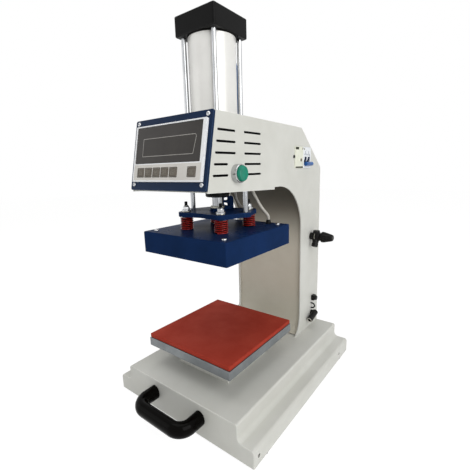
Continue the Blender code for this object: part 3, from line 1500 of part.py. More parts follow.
def breaker():
    y, z = BREAKER_PLACE
    half_y, half_z = BREAKER_WIDTH / 2, BREAKER_HEIGHT / 2
    back_x = HEAD_INNER_HALF - CONTACT_GAP
    face_x = HEAD_HALF + BREAKER_PROUD
    body = box(
        "breaker_body",
        "breaker_cream",
        (back_x - BREAKER_DEPTH, y - half_y - BREAKER_STEP, z - half_z - BREAKER_STEP),
        (back_x, y + half_y + BREAKER_STEP, z + half_z + BREAKER_STEP),
    )
    nose = box(
        "breaker_nose",
        "breaker_cream",
        (back_x - OVERRUN, y - half_y, z - half_z),
        (face_x, y + half_y, z + half_z),
    )
    lever_y = y + half_y * LEVER_CENTRE_SHARE
    pocket = box(
        "lever_pocket",
        "breaker_cream",
        (face_x - LEVER_POCKET_DEPTH, lever_y - LEVER_POCKET_WIDTH / 2, z - LEVER_POCKET_HEIGHT / 2),
        (face_x + OVERRUN, lever_y + LEVER_POCKET_WIDTH / 2, z + LEVER_POCKET_HEIGHT / 2),
    )
    test_place = (y - half_y * TEST_BUTTON_SHARE, z - TEST_BUTTON_DROP)
    test_end = face_x + TEST_BUTTON_PROUD
    test_low = test_end - TEST_BUTTON_LENGTH
    test_bore = rod(
        "test_button_bore",
        "breaker_cream",
        (test_low - 2 * CONTACT_GAP - TEST_BUTTON_PROUD, *test_place),
        (face_x + OVERRUN, *test_place),
        TEST_BUTTON_RADIUS + CONTACT_GAP,
        SMALL_ROUND_STEPS,
    )
    unite(body, nose)
    cut(body, pocket, test_bore)
    rod(
        "breaker_test_button",
        "key_grey",
        (test_low, *test_place),
        (test_end, *test_place),
        TEST_BUTTON_RADIUS,
        SMALL_ROUND_STEPS,
    )
    pivot = Vector((face_x - LEVER_PIVOT_DEPTH, lever_y, z))
    hub_half = Vector((0, LEVER_POCKET_WIDTH / 2 - CONTACT_GAP, 0))
    bar_half = Vector((0, LEVER_BAR_LENGTH / 2, 0))
    lever = rod("breaker_lever", "lever_blue", -hub_half, hub_half, LEVER_HUB_RADIUS, SMALL_ROUND_STEPS)
    lever.data.transform(lever.matrix_basis.to_3x3().to_4x4())
    lever.rotation_euler = (0, LEVER_ANGLE, 0)
    lever.location = pivot
    bar_middle = Vector((LEVER_ARM, 0, 0))
    bar = rod(
        "lever_bar",
        "lever_blue",
        bar_middle - bar_half,
        bar_middle + bar_half,
        LEVER_BAR_RADIUS,
        SMALL_ROUND_STEPS,
    )
    pieces = [bar]
    for i, side in enumerate((-LEVER_ARM_SPACING / 2, LEVER_ARM_SPACING / 2)):
        pieces.append(
            box(
                f"lever_arm_{i}",
                "lever_blue",
                (0, side - LEVER_ARM_WIDTH / 2, -LEVER_ARM_WIDTH / 2),
                (LEVER_ARM, side + LEVER_ARM_WIDTH / 2, LEVER_ARM_WIDTH / 2),
            )
        )
    for piece in pieces:
        piece.parent = lever
    unite(lever, *pieces)


def regulator():
    stem = REGULATOR_STEM_LENGTH
    nut_top = CONTACT_GAP + REGULATOR_NUT_HEIGHT
    body_top = nut_top + REGULATOR_BODY_LENGTH
    collar_top = body_top + REGULATOR_COLLAR_LENGTH
    body = turned(
        "regulator_body",
        "black_plastic",
        [
            (0, collar_top),
            (REGULATOR_COLLAR_RADIUS, collar_top),
            (REGULATOR_COLLAR_RADIUS, body_top),
            (REGULATOR_BODY_RADIUS - EDGE_BREAK, body_top),
            (REGULATOR_BODY_RADIUS, body_top - EDGE_BREAK),
            (REGULATOR_BODY_RADIUS, nut_top),
            (REGULATOR_NUT_RADIUS, nut_top),
            (REGULATOR_NUT_RADIUS, CONTACT_GAP),
            (REGULATOR_STEM_RADIUS, CONTACT_GAP),
            (REGULATOR_STEM_RADIUS, -SIDE_SHEET - stem),
            (0, -SIDE_SHEET - stem),
        ],
        on_side(REGULATOR_PLACE, 0),
        direction=(1, 0, 0),
        steps=SLIM_ROUND_STEPS,
    )
    middle = on_side(REGULATOR_PLACE, (nut_top + body_top) / 2)
    top_port = rod(
        "regulator_top_port",
        "black_plastic",
        middle,
        middle + Vector((0, 0, REGULATOR_TOP_PORT_REACH)),
        REGULATOR_TOP_PORT_RADIUS,
        SMALL_ROUND_STEPS,
    )
    low_way = Vector((0, -math.sin(REGULATOR_LOW_PORT_TURN), -math.cos(REGULATOR_LOW_PORT_TURN)))
    low_port = rod(
        "regulator_low_port",
        "black_plastic",
        middle,
        middle + low_way * REGULATOR_LOW_PORT_REACH,
        REGULATOR_LOW_PORT_RADIUS,
        SMALL_ROUND_STEPS,
    )
    unite(body, top_port, low_port)
    knob = turned(
        "regulator_knob",
        "black_plastic",
        [
            (0, KNOB_LENGTH),
            (KNOB_END_RADIUS - 2 * EDGE_BREAK, KNOB_LENGTH),
            (KNOB_END_RADIUS, KNOB_LENGTH - 2 * EDGE_BREAK),
            (KNOB_RADIUS, 2 * EDGE_BREAK),
            (KNOB_RADIUS - 2 * EDGE_BREAK, 0),
            (0, 0),
        ],
        on_side(REGULATOR_PLACE, collar_top + CONTACT_GAP),
        direction=(1, 0, 0),
        steps=SLIM_ROUND_STEPS,
    )
    grooves = []
    for i in range(KNOB_RIBS):
        turn = 2 * math.pi * (i + KNOB_TURN_SHARE) / KNOB_RIBS
        outward = Vector((0, math.cos(turn), math.sin(turn)))
        start = on_side(REGULATOR_PLACE, collar_top - OVERRUN) + outward * (KNOB_RADIUS + 2 * EDGE_BREAK)
        end = on_side(REGULATOR_PLACE, collar_top + KNOB_LENGTH + OVERRUN) + outward * KNOB_END_RADIUS
        grooves.append(rod(f"knob_groove_{i}", "black_plastic", start, end, EDGE_BREAK, GROOVE_STEPS))
    cut(knob, *grooves)


def air_inlet():
    """The elbow that the workshop's air hose pushes into, with its mouth to the front and a little down."""
    place = on_side(INLET_PLACE, CONTACT_GAP)
    corner = place + Vector((INLET_BODY_LENGTH, 0, 0))
    body = rod(
        "air_inlet_elbow",
        "black_plastic",
        place,
        corner + Vector((INLET_BODY_RADIUS, 0, 0)),
        INLET_BODY_RADIUS,
        SMALL_ROUND_STEPS,
    )
    way = Vector((0, -math.cos(INLET_TILT), -math.sin(INLET_TILT)))
    mouth = corner + way * INLET_OUTLET_LENGTH
    outlet = rod("inlet_outlet", "black_plastic", corner, mouth, INLET_OUTLET_RADIUS, SMALL_ROUND_STEPS)
    stub = rod(
        "inlet_stub",
        "black_plastic",
        place - Vector((SIDE_SHEET + INLET_BORE_RADIUS, 0, 0)),
        corner,
        INLET_BORE_RADIUS,
        HOLE_STEPS,
    )
    bore = rod(
        "inlet_bore",
        "black_plastic",
        mouth - way * INLET_BORE_DEPTH,
        mouth + way * OVERRUN,
        INLET_BORE_RADIUS,
        SMALL_ROUND_STEPS,
    )
    unite(body, outlet, stub)
    cut(body, bore)


def fuse_holder():
    y, z = FUSE_PLACE
    low = on_side((y - FUSE_WIDTH / 2, z - FUSE_HEIGHT / 2), CONTACT_GAP)
    high = on_side((y + FUSE_WIDTH / 2, z + FUSE_HEIGHT / 2), FUSE_REACH)
    holder = box("fuse_holder", "black_plastic", low, high)
    barrel = rod(
        "fuse_barrel",
        "black_plastic",
        on_side(FUSE_PLACE, -FUSE_BODY_LENGTH),
        on_side(FUSE_PLACE, FUSE_REACH / 2),
        FUSE_BODY_RADIUS,
        SMALL_ROUND_STEPS,
    )
    unite(holder, barrel)


def solenoid_valve():
    """The valve that feeds the cylinder, on the inner face of the left side plate."""
    y = BASE_FRONT_Y + VALVE_SETBACK
    z = HEAD_TOP_Z - VALVE_DROP
    wall_x = -HEAD_INNER_HALF + CONTACT_GAP
    body = box(
        "solenoid_valve",
        "black_steel",
        (wall_x, y - VALVE_LENGTH / 2, z),
        (wall_x + VALVE_WIDTH, y + VALVE_LENGTH / 2, z + VALVE_HEIGHT),
    )
    coil_x = wall_x + VALVE_COIL_RADIUS + CONTACT_GAP
    coil = rod(
        "valve_coil",
        "black_steel",
        (coil_x, y, z + VALVE_HEIGHT / 2),
        (coil_x, y + VALVE_LENGTH / 2 + VALVE_COIL_LENGTH / 2, z + VALVE_HEIGHT / 2),
        VALVE_COIL_RADIUS,
        SMALL_ROUND_STEPS,
    )
    unite(body, coil)


def main():
    base()
    carry_handle()
    lower_platen()
    side_plates()
    column_front_panel()
    rear_cover()
    head_plate()
    cylinder()
    pressure_plate()
    guides()
    springs()
    spring_bolts()
    heat_platen()
    leads()
    air_hose()
    control_panel()
    start_button()
    breaker()
    regulator()
    air_inlet()
    fuse_holder()
    solenoid_valve()


main()
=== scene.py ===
"""The looks of a bench-top pneumatic heat press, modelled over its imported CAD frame.

+X is the operator's right, +Y the rear and +Z up. The origin is on the bench, under the middle of the press.
Sizes are in millimetres, and become metres where a mesh is made.
"""

from __future__ import annotations

import logging
import math
from collections.abc import Iterable, Sequence
from dataclasses import dataclass
from enum import Enum

import bpy
from mathutils import Matrix, Vector


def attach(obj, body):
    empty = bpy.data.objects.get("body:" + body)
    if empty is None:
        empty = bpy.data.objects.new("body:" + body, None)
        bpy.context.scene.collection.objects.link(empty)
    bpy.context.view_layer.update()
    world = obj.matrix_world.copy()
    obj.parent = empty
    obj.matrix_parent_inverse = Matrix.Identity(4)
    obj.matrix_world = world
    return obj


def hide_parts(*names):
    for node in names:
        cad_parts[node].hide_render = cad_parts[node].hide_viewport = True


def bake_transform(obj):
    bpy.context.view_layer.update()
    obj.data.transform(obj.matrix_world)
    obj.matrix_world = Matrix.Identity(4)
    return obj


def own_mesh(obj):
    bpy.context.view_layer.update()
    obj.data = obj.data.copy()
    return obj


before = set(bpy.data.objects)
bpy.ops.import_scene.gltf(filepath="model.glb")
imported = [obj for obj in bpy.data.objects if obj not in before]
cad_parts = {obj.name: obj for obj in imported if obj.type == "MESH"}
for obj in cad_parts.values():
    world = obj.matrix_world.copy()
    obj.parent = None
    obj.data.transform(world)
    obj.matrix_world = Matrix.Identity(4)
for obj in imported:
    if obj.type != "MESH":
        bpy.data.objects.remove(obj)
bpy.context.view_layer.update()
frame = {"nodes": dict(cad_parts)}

LOG = logging.getLogger("heat_press")
MM = 0.001
# How many flats go round a turned piece: a large one, most others, and a small one.
LARGE = 96
FINE = 64
ROUND = 32
# The greatest angle, in degrees, of an edge that is shaded smooth.
GENTLE_EDGE = 35
Point = Sequence[float]
Pair = tuple[float, float]
Piece = bpy.types.Object

# The colour of the painted shade that darkens a coat under the head, and the most of the coat's colour that
# it covers.
PAINTED_SHADE_COLOUR = "#3f3d34"
PAINTED_SHADE_SHARE = 0.94
# Edge wear and painted highlight: how wide the breaks in them are, and where they start and are full, as the
# cosine of the turn.
EDGE_WEAR_AND_HIGHLIGHT_BREAK_MM = 9
EDGE_WEAR_AND_HIGHLIGHT_START, EDGE_WEAR_AND_HIGHLIGHT_FULL = 0.985, 0.85
# Where the fittings on the press's right side stand, as (y, z).
START_BUTTON_AT: Pair = (-95.5, 436.9)
REGULATOR_AT: Pair = (181.02, 288.4)
FUSE_AT: Pair = (196.03, 134)
INLET_AT: Pair = (191.57, 96.5)


def linear(code: str) -> tuple[float, float, float, float]:
    """Turns an sRGB hex colour to the linear values that a shader takes.

    Args:
        code: The colour as "#rrggbb".

    Returns:
        Red, green, blue and alpha, each from 0 to 1.
    """
    shares = [int(code[i : i + 2], 16) / 255 for i in (1, 3, 5)]
    red, green, blue = [s / 12.92 if s <= 0.04045 else ((s + 0.055) / 1.055) ** 2.4 for s in shares]
    return (red, green, blue, 1.0)


def add_node(
    tree: bpy.types.NodeTree, kind: str, inputs: dict[str | int, object] | None = None, **settings: object
) -> bpy.types.Node:
    """Adds a shader node with its settings, its values and the links into it.

    Args:
        tree: The material's node tree.
        kind: The node's type.
        inputs: A value, or another node's output, for each named or numbered input.
        **settings: The node's own properties.

    Returns:
        The node.
    """
    made = tree.nodes.new(kind)
    for key, value in settings.items():
        setattr(made, key, value)
    for key, value in (inputs or {}).items():
        if isinstance(value, bpy.types.NodeSocket):
            tree.links.new(value, made.inputs[key])
        else:
            made.inputs[key].default_value = value
    return made


class Grain(Enum):
    """The relief that a surface was left with when it was made."""

    CLOUD = "soft swellings, as in sprayed paint or a moulded skin"
    CELLS = "small closed cells, as in sponge or woven sleeving"


@dataclass(frozen=True)
class Finish:
    """A finish: a real material and how its surface was made.

    Attributes:
        name: The material's name.
        colour: Its colour, as sRGB hex.
        drift: The colour that it drifts to in wide patches.
        drift_mm: How wide those patches are.
        roughness: Its mean roughness.
        spread: How far the roughness swings either way.
        grain: The kind of relief.
        grain_mm: How wide one grain of the relief is.
        depth_mm: How deep the relief is.
        lay: How fast the relief changes along X, Y and Z. A low number draws it out into lines.
        metallic: 1 for a bare metal.
        ior: Index of refraction, for what isn't a metal.
        gloss: How strongly it mirrors. 0.5 is plain for its index, and a lower one suits a skin that
            isn't quite shut.
        coat: Share of a clear coat.
        coat_roughness: Roughness of the clear coat.
        edge_wear_and_highlight: The colour along its sharp edges, part worn paint and part painted highlight,
            or nothing.
        edge_wear_and_highlight_mm: How far from an edge that colour reaches.
        painted_shade_heights: The heights between which painted shade darkens it, deeper towards the top, if
            it has any.
        seen_through: Share of light that passes, for glass and clear plastic.
    """

    name: str
    colour: str
    drift: str
    roughness: float
    drift_mm: float = 60
    spread: float = 0.05
    grain: Grain = Grain.CLOUD
    grain_mm: float = 2
    depth_mm: float = 0.02
    lay: tuple[float, float, float] = (1, 1, 1)
    metallic: float = 0
    ior: float = 1.5
    gloss: float = 0.5
    coat: float = 0
    coat_roughness: float = 0.08
    edge_wear_and_highlight: str = ""
    edge_wear_and_highlight_mm: float = 0.8
    painted_shade_heights: Pair | None = None
    seen_through: float = 0

    def material(self) -> bpy.types.Material:
        """Builds the material, or returns it if it is already there."""
        found = bpy.data.materials.get(self.name)
        if found:
            return found
        made = bpy.data.materials.new(self.name)
        made.use_nodes = True
        tree = made.node_tree
        shader = tree.nodes["Principled BSDF"]
        steady = {
            "Metallic": self.metallic,
            "IOR": self.ior,
            "Specular IOR Level": self.gloss,
            "Coat Weight": self.coat,
            "Coat Roughness": self.coat_roughness,
            "Transmission Weight": self.seen_through,
        }
        for socket, value in steady.items():
            shader.inputs[socket].default_value = value
        place = add_node(tree, "ShaderNodeTexCoord").outputs["Object"]
        patches = add_node(
            tree,
            "ShaderNodeTexNoise",
            {"Vector": place, "Scale": 1 / (self.drift_mm * MM), "Detail": 4, "Roughness": 0.6},
        ).outputs["Fac"]
        share = add_node(
            tree, "ShaderNodeMapRange", {"Value": patches, "From Min": 0.35, "From Max": 0.65}
        ).outputs["Result"]
        colour = add_node(
            tree,
            "ShaderNodeMix",
            {0: share, 6: linear(self.colour), 7: linear(self.drift)},
            data_type="RGBA",
        ).outputs[2]
        if self.edge_wear_and_highlight:
            colour = self._add_edge_wear_and_highlight(tree, colour, place)
        if self.painted_shade_heights:
            colour = self._add_painted_shade(tree, colour, place)
        tree.links.new(colour, shader.inputs["Base Color"])
        rough = add_node(
            tree,
            "ShaderNodeMapRange",
            {
                "Value": patches,
                "From Min": 0.3,
                "From Max": 0.7,
                "To Min": self.roughness - self.spread,
                "To Max": self.roughness + self.spread,
            },
        ).outputs["Result"]
        tree.links.new(rough, shader.inputs["Roughness"])
        relief = self._relief(tree, place)
        bump = add_node(
            tree, "ShaderNodeBump", {"Height": relief, "Distance": self.depth_mm * MM, "Strength": 1.0}
        ).outputs["Normal"]
        tree.links.new(bump, shader.inputs["Normal"])
        return made

    def _relief(self, tree: bpy.types.NodeTree, place: bpy.types.NodeSocket) -> bpy.types.NodeSocket:
        """Adds the relief's pattern.

        Args:
            tree: The material's node tree.
            place: The coordinates that the pattern follows.

        Returns:
            The relief's height, from 0 to 1.
        """
        scale = 1 / (self.grain_mm * MM)
        spaced = add_node(
            tree, "ShaderNodeMapping", {"Vector": place, "Scale": [scale * share for share in self.lay]}
        ).outputs["Vector"]
        if self.grain is Grain.CELLS:
            cells = add_node(tree, "ShaderNodeTexVoronoi", {"Vector": spaced, "Scale": 1.0})
            return cells.outputs["Distance"]
        return add_node(
            tree, "ShaderNodeTexNoise", {"Vector": spaced, "Scale": 1.0, "Detail": 3, "Roughness": 0.5}
        ).outputs["Fac"]

    def _add_edge_wear_and_highlight(
        self, tree: bpy.types.NodeTree, colour: bpy.types.NodeSocket, place: bpy.types.NodeSocket
    ) -> bpy.types.NodeSocket:
        """Adds edge wear and a painted highlight where the surface turns a sharp corner.

        Args:
            tree: The material's node tree.
            colour: The colour away from the edges.
            place: The coordinates that the breaks in the edge colour follow.

        Returns:
            The colour with its edge wear and painted highlight.
        """
        flat = add_node(tree, "ShaderNodeNewGeometry").outputs["True Normal"]
        softened = add_node(
            tree, "ShaderNodeBevel", {"Radius": self.edge_wear_and_highlight_mm * MM}, samples=4
        ).outputs["Normal"]
        along = add_node(
            tree, "ShaderNodeVectorMath", {0: flat, 1: softened}, operation="DOT_PRODUCT"
        ).outputs["Value"]
        broken = add_node(
            tree,
            "ShaderNodeTexNoise",
            {"Vector": place, "Scale": 1 / (EDGE_WEAR_AND_HIGHLIGHT_BREAK_MM * MM), "Detail": 5},
        ).outputs["Fac"]
        edge = add_node(
            tree,
            "ShaderNodeMapRange",
            {"Value": along, "From Min": EDGE_WEAR_AND_HIGHLIGHT_START, "From Max": EDGE_WEAR_AND_HIGHLIGHT_FULL, "To Max": 1.3},
        ).outputs["Result"]
        share = add_node(tree, "ShaderNodeMath", {0: edge, 1: broken}, operation="MULTIPLY").outputs[0]
        return add_node(
            tree, "ShaderNodeMix", {0: share, 6: colour, 7: linear(self.edge_wear_and_highlight)}, data_type="RGBA"
        ).outputs[2]

    def _add_painted_shade(
        self, tree: bpy.types.NodeTree, colour: bpy.types.NodeSocket, place: bpy.types.NodeSocket
    ) -> bpy.types.NodeSocket:
        """Adds painted shade that deepens with height, for the shade under the head.

        Args:
            tree: The material's node tree.
            colour: The colour without painted shade.
            place: The coordinates that give the height.

        Returns:
            The colour with its painted shade.
        """
        low, high = self.painted_shade_heights
        height = add_node(tree, "ShaderNodeSeparateXYZ", {"Vector": place}).outputs["Z"]
        share = add_node(
            tree,
            "ShaderNodeMapRange",
            {"Value": height, "From Min": low * MM, "From Max": high * MM, "To Max": PAINTED_SHADE_SHARE},
            interpolation_type="SMOOTHSTEP",
        ).outputs["Result"]
        return add_node(
            tree, "ShaderNodeMix", {0: share, 6: colour, 7: linear(PAINTED_SHADE_COLOUR)}, data_type="RGBA"
        ).outputs[2]


# Polyester powder coat on sheet steel: satin, with the soft orange peel of a baked powder, and paler
# along its edges, part rubbed wear and part painted highlight.
POWDER_COAT = Finish(
    "powder_coated_steel_light_grey", "#d5d5cf", "#cecec7", 0.42, 90, 0.05, grain_mm=2.4, depth_mm=0.035,
    gloss=0.3, edge_wear_and_highlight="#f8f8f4", edge_wear_and_highlight_mm=1.3,
)
# A warmer grey on the column's front, with painted shade that darkens it towards the head above it.
COLUMN_COAT = Finish(
    "powder_coated_steel_warm_grey", "#d5d0c1", "#ccc6b6", 0.5, 120, 0.05, grain_mm=2.4, depth_mm=0.035,
    gloss=0.25, edge_wear_and_highlight="#ece8dc", painted_shade_heights=(255, 394),
)
# Baked navy enamel with faint sags. Handling has dulled it, so it mirrors very little.
NAVY_ENAMEL = Finish(
    "baked_enamel_navy", "#182f58", "#15294b", 0.3, 70, 0.06, grain_mm=5, depth_mm=0.03, gloss=0.006,
    edge_wear_and_highlight="#34528c",
)
# The bezel's enamel is a darker batch that has kept more of its gloss.
BEZEL_ENAMEL = Finish(
    "baked_enamel_dark_navy", "#152b4b", "#132742", 0.3, 70, 0.05, grain_mm=4, depth_mm=0.02, gloss=0.07,
    edge_wear_and_highlight="#54698f",
)
# Phenolic handle, compression moulded and polished: black with small tight highlights.
PHENOLIC = Finish(
    "polished_phenolic_black", "#060504", "#090806", 0.12, 30, 0.03, grain_mm=9, depth_mm=0.05, gloss=0.045
)
# Glass-filled nylon, injection moulded: black with a spark-eroded grain.
MOULDED_NYLON = Finish(
    "moulded_nylon_black", "#101010", "#161514", 0.36, 20, 0.08, grain_mm=0.9, depth_mm=0.03, gloss=0.14,
    edge_wear_and_highlight="#343434",
)
# Die-cast aluminium, shot blasted and painted black, with a painted highlight along its edges where light
# catches them.
CAST_BLACK = Finish(
    "painted_casting_black", "#121212", "#0e0e0e", 0.36, 45, 0.08, grain_mm=1.6, depth_mm=0.05, gloss=0.07,
    edge_wear_and_highlight="#6a6a6a", edge_wear_and_highlight_mm=2,
)
# Silicone sponge sheet with a cast skin: matt brick red, with faint cells. The cells are drawn coarse
# enough to show.
SILICONE_SPONGE = Finish(
    "cast_silicone_sponge_brick", "#a83c2c", "#9c3425", 0.66, 55, 0.06, Grain.CELLS, 1.6, 0.05,
    ior=1.41, gloss=0.14,
)
# Aluminium plate, sawn and face milled: grey with the faint lines of the cutter.
MILLED_ALUMINIUM = Finish(
    "milled_aluminium", "#878b8d", "#777b7d", 0.42, 40, 0.08, grain_mm=1.4, depth_mm=0.03,
    lay=(1, 0.06, 1), metallic=1,
)
# Cylinder tube: cold drawn, then clear anodised. The oxide scatters light, so it reads mostly as paint.
DRAWN_TUBE = Finish(
    "drawn_aluminium_clear_anodised", "#e9e8e4", "#dfdeda", 0.33, 80, 0.04, grain_mm=1.1, depth_mm=0.003,
    lay=(1, 1, 0.01), metallic=0.25,
)
# Hard chrome on ground steel rod: a dark mirror with fine lines round it.
HARD_CHROME = Finish(
    "hard_chrome_on_ground_steel", "#a6a8ab", "#999b9e", 0.16, 50, 0.05, grain_mm=1, depth_mm=0.002,
    lay=(0.05, 0.05, 1), metallic=1,
)
# Bright drawn steel of tie rods, guide sleeves, nuts and small screws: a paler mirror than the chrome.
BRIGHT_STEEL = Finish(
    "bright_drawn_steel", "#c2c3c5", "#b2b4b6", 0.2, 30, 0.05, grain_mm=1, depth_mm=0.002,
    lay=(0.05, 0.05, 1), metallic=1,
)
# Turned steel with bright zinc plate: duller and a little yellow, in small patches.
ZINC_STEEL = Finish(
    "zinc_plated_turned_steel", "#b4b3a9", "#9d9c92", 0.28, 8, 0.08, grain_mm=0.7, depth_mm=0.01,
    lay=(0.2, 0.2, 1), metallic=1,
)
# Chromed zinc casting of the push button's ring: a clean mirror with a soft cast skin under it.
CHROMED_RING = Finish(
    "chromed_zinc_casting", "#bfc1c2", "#aeb0b2", 0.18, 12, 0.05, grain_mm=0.8, depth_mm=0.006,
    lay=(1, 0.1, 0.1), metallic=1,
)
# Die springs: hardened wire with a red lacquer that flows thin on the outside of the wire.
SPRING_LACQUER = Finish(
    "lacquered_spring_wire_red", "#ad1512", "#90100d", 0.24, 6, 0.06, grain_mm=1.5, depth_mm=0.02, gloss=0.35,
    edge_wear_and_highlight="#c8483e",
)
# Polyester membrane over the keypad, printed white from behind: smooth, with a low sheen.
MEMBRANE_WHITE = Finish(
    "printed_polyester_film_white", "#f8f9fb", "#f1f3f5", 0.34, 60, 0.04, grain_mm=1.2, depth_mm=0.008,
    gloss=0.3,
)
# The same film, printed beige behind the row of keys.
MEMBRANE_BEIGE = Finish(
    "printed_polyester_film_beige", "#dcd9d3", "#d3cfc9", 0.34, 60, 0.04, grain_mm=1.2, depth_mm=0.008,
    gloss=0.3,
)
# Smoked acrylic in front of the display, cast and polished, with the slow waves of a cast sheet.
SMOKED_ACRYLIC = Finish(
    "smoked_cast_acrylic", "#454240", "#3e3b39", 0.09, 90, 0.03, grain_mm=14, depth_mm=0.06,
    lay=(1, 0.2, 0.2), ior=1.49, gloss=0.12,
)
# The display's cell: polariser film in nearly the window's smoke, and a little duller.
DISPLAY_CELL = Finish(
    "polarised_display_cell", "#44413e", "#3f3c3a", 0.14, 40, 0.03, grain_mm=6, depth_mm=0.004, gloss=0.1
)
# Silver-grey ink, screen printed: the thin line round the display.
DISPLAY_GREY = Finish(
    "printed_ink_silver_grey", "#a9a6a1", "#9b9893", 0.4, 20, grain_mm=1, depth_mm=0.004, gloss=0.2
)
# Moulded silicone with a matt coat: the keys' caps and the breaker's test button.
KEY_CAP = Finish(
    "moulded_silicone_grey", "#7d766c", "#6d665c", 0.5, 12, 0.05, grain_mm=0.8, depth_mm=0.012,
    ior=1.41, gloss=0.2,
)
# Dark ink, screen printed: the frames round the keys and on them.
KEY_FRAME = Finish(
    "printed_ink_stone_grey", "#4f4941", "#5b554c", 0.5, 10, grain_mm=0.8, depth_mm=0.004, gloss=0.2
)
# Ink in the middle of each key, worn to a fine speckle by fingers.
KEY_MARK = Finish(
    "printed_ink_dark_speckled", "#4a463e", "#8a8378", 0.5, 1.1, grain_mm=0.8, depth_mm=0.004, gloss=0.2
)
# Push button cap, injection moulded in green polycarbonate over an opaque seat: clean, with a low sheen.
GREEN_CAP = Finish(
    "moulded_polycarbonate_green", "#15866d", "#117760", 0.24, 9, 0.04, grain_mm=3, depth_mm=0.01, gloss=0.2
)
# Breaker case, compression moulded in urea resin: ivory, hard and a little glossy.
BREAKER_IVORY = Finish(
    "moulded_urea_ivory", "#e9eadb", "#dfe1cf", 0.36, 7, 0.05, grain_mm=0.8, depth_mm=0.01, gloss=0.3
)
# The second module, its lever's drum and the body behind both, injection moulded in polyamide: cold white.
BREAKER_WHITE = Finish(
    "moulded_polyamide_white", "#eef1f4", "#e4e8ec", 0.34, 15, 0.05, grain_mm=0.8, depth_mm=0.01, gloss=0.3
)
# The lever's bar and the hose port's collet, moulded in blue polyamide.
BLUE_LEVER = Finish(
    "moulded_polyamide_blue", "#235fa6", "#1c4f8e", 0.28, 8, 0.05, grain_mm=0.8, depth_mm=0.01, gloss=0.25
)
# The lever's prongs, moulded in the same plastic in navy.
NAVY_PRONG = Finish(
    "moulded_polyamide_navy", "#10213f", "#0d1b34", 0.3, 8, 0.05, grain_mm=0.8, depth_mm=0.01, gloss=0.2
)
# The inlet's collet, turned from unpigmented acetal: milky white and waxy.
ACETAL = Finish(
    "turned_acetal_natural", "#d9d7ce", "#cfccc2", 0.4, 5, 0.05, grain_mm=0.7, depth_mm=0.01, gloss=0.3
)
# Polyurethane air tube, extruded: blue and glossy, and a little clear.
POLYURETHANE_TUBE = Finish(
    "extruded_polyurethane_blue", "#2a6aa6", "#235f9a", 0.22, 30, 0.04, grain_mm=4, depth_mm=0.01,
    lay=(1, 1, 0.2), gloss=0.3, seen_through=0.1,
)
# Glass-fibre sleeving over the heater's lead, braided and varnished. The braid is drawn coarse enough
# to show.
BRAIDED_SLEEVE = Finish(
    "braided_glass_fibre_sleeve", "#cfccc3", "#c1bdb3", 0.5, 10, 0.06, Grain.CELLS, 1.1, 0.12, gloss=0.35
)
# Silicone insulation of the sensor's lead, extruded: light grey and soft.
SILICONE_LEAD = Finish(
    "extruded_silicone_lead_grey", "#bdbab5", "#b0ada8", 0.45, 12, grain_mm=2, depth_mm=0.02, gloss=0.3
)
# Moulded rubber of the feet, seals and trims: black and dull, with a coarse skin.
RUBBER = Finish(
    "moulded_rubber_black", "#121212", "#191817", 0.7, 12, 0.08, grain_mm=1.2, depth_mm=0.06, gloss=0.1
)
# Glass-epoxy board under its green lacquer, which the copper below it makes uneven.
SOLDER_RESIST = Finish(
    "solder_resist_green", "#1c5a30", "#184f2a", 0.4, 14, grain_mm=1.5, depth_mm=0.03, gloss=0.3
)
# Steel blackened in hot oxide salts and oiled: a dark metal with a low shine.
BLACK_STEEL = Finish(
    "black_oxide_steel", "#242425", "#303031", 0.36, 18, 0.08, grain_mm=1.2, depth_mm=0.01, metallic=1
)
# Painted shade: a black, dull sheet in the head behind its slots, and black cores inside the springs,
# standing for the dark there.
BLACK_SHADE_SHEET = Finish(
    "painted_shade_black", "#080808", "#0b0b0b", 0.8, 20, grain_mm=2, depth_mm=0.01, gloss=0.05
)
# Painted shade: dark olive plates at the bottoms of the breaker's recesses, where the recesses are shaded.
RECESS_SHADE = Finish("painted_shade_recess_olive", "#3d3e34", "#33342b", 0.6, 5, grain_mm=1, depth_mm=0.02, gloss=0.1)


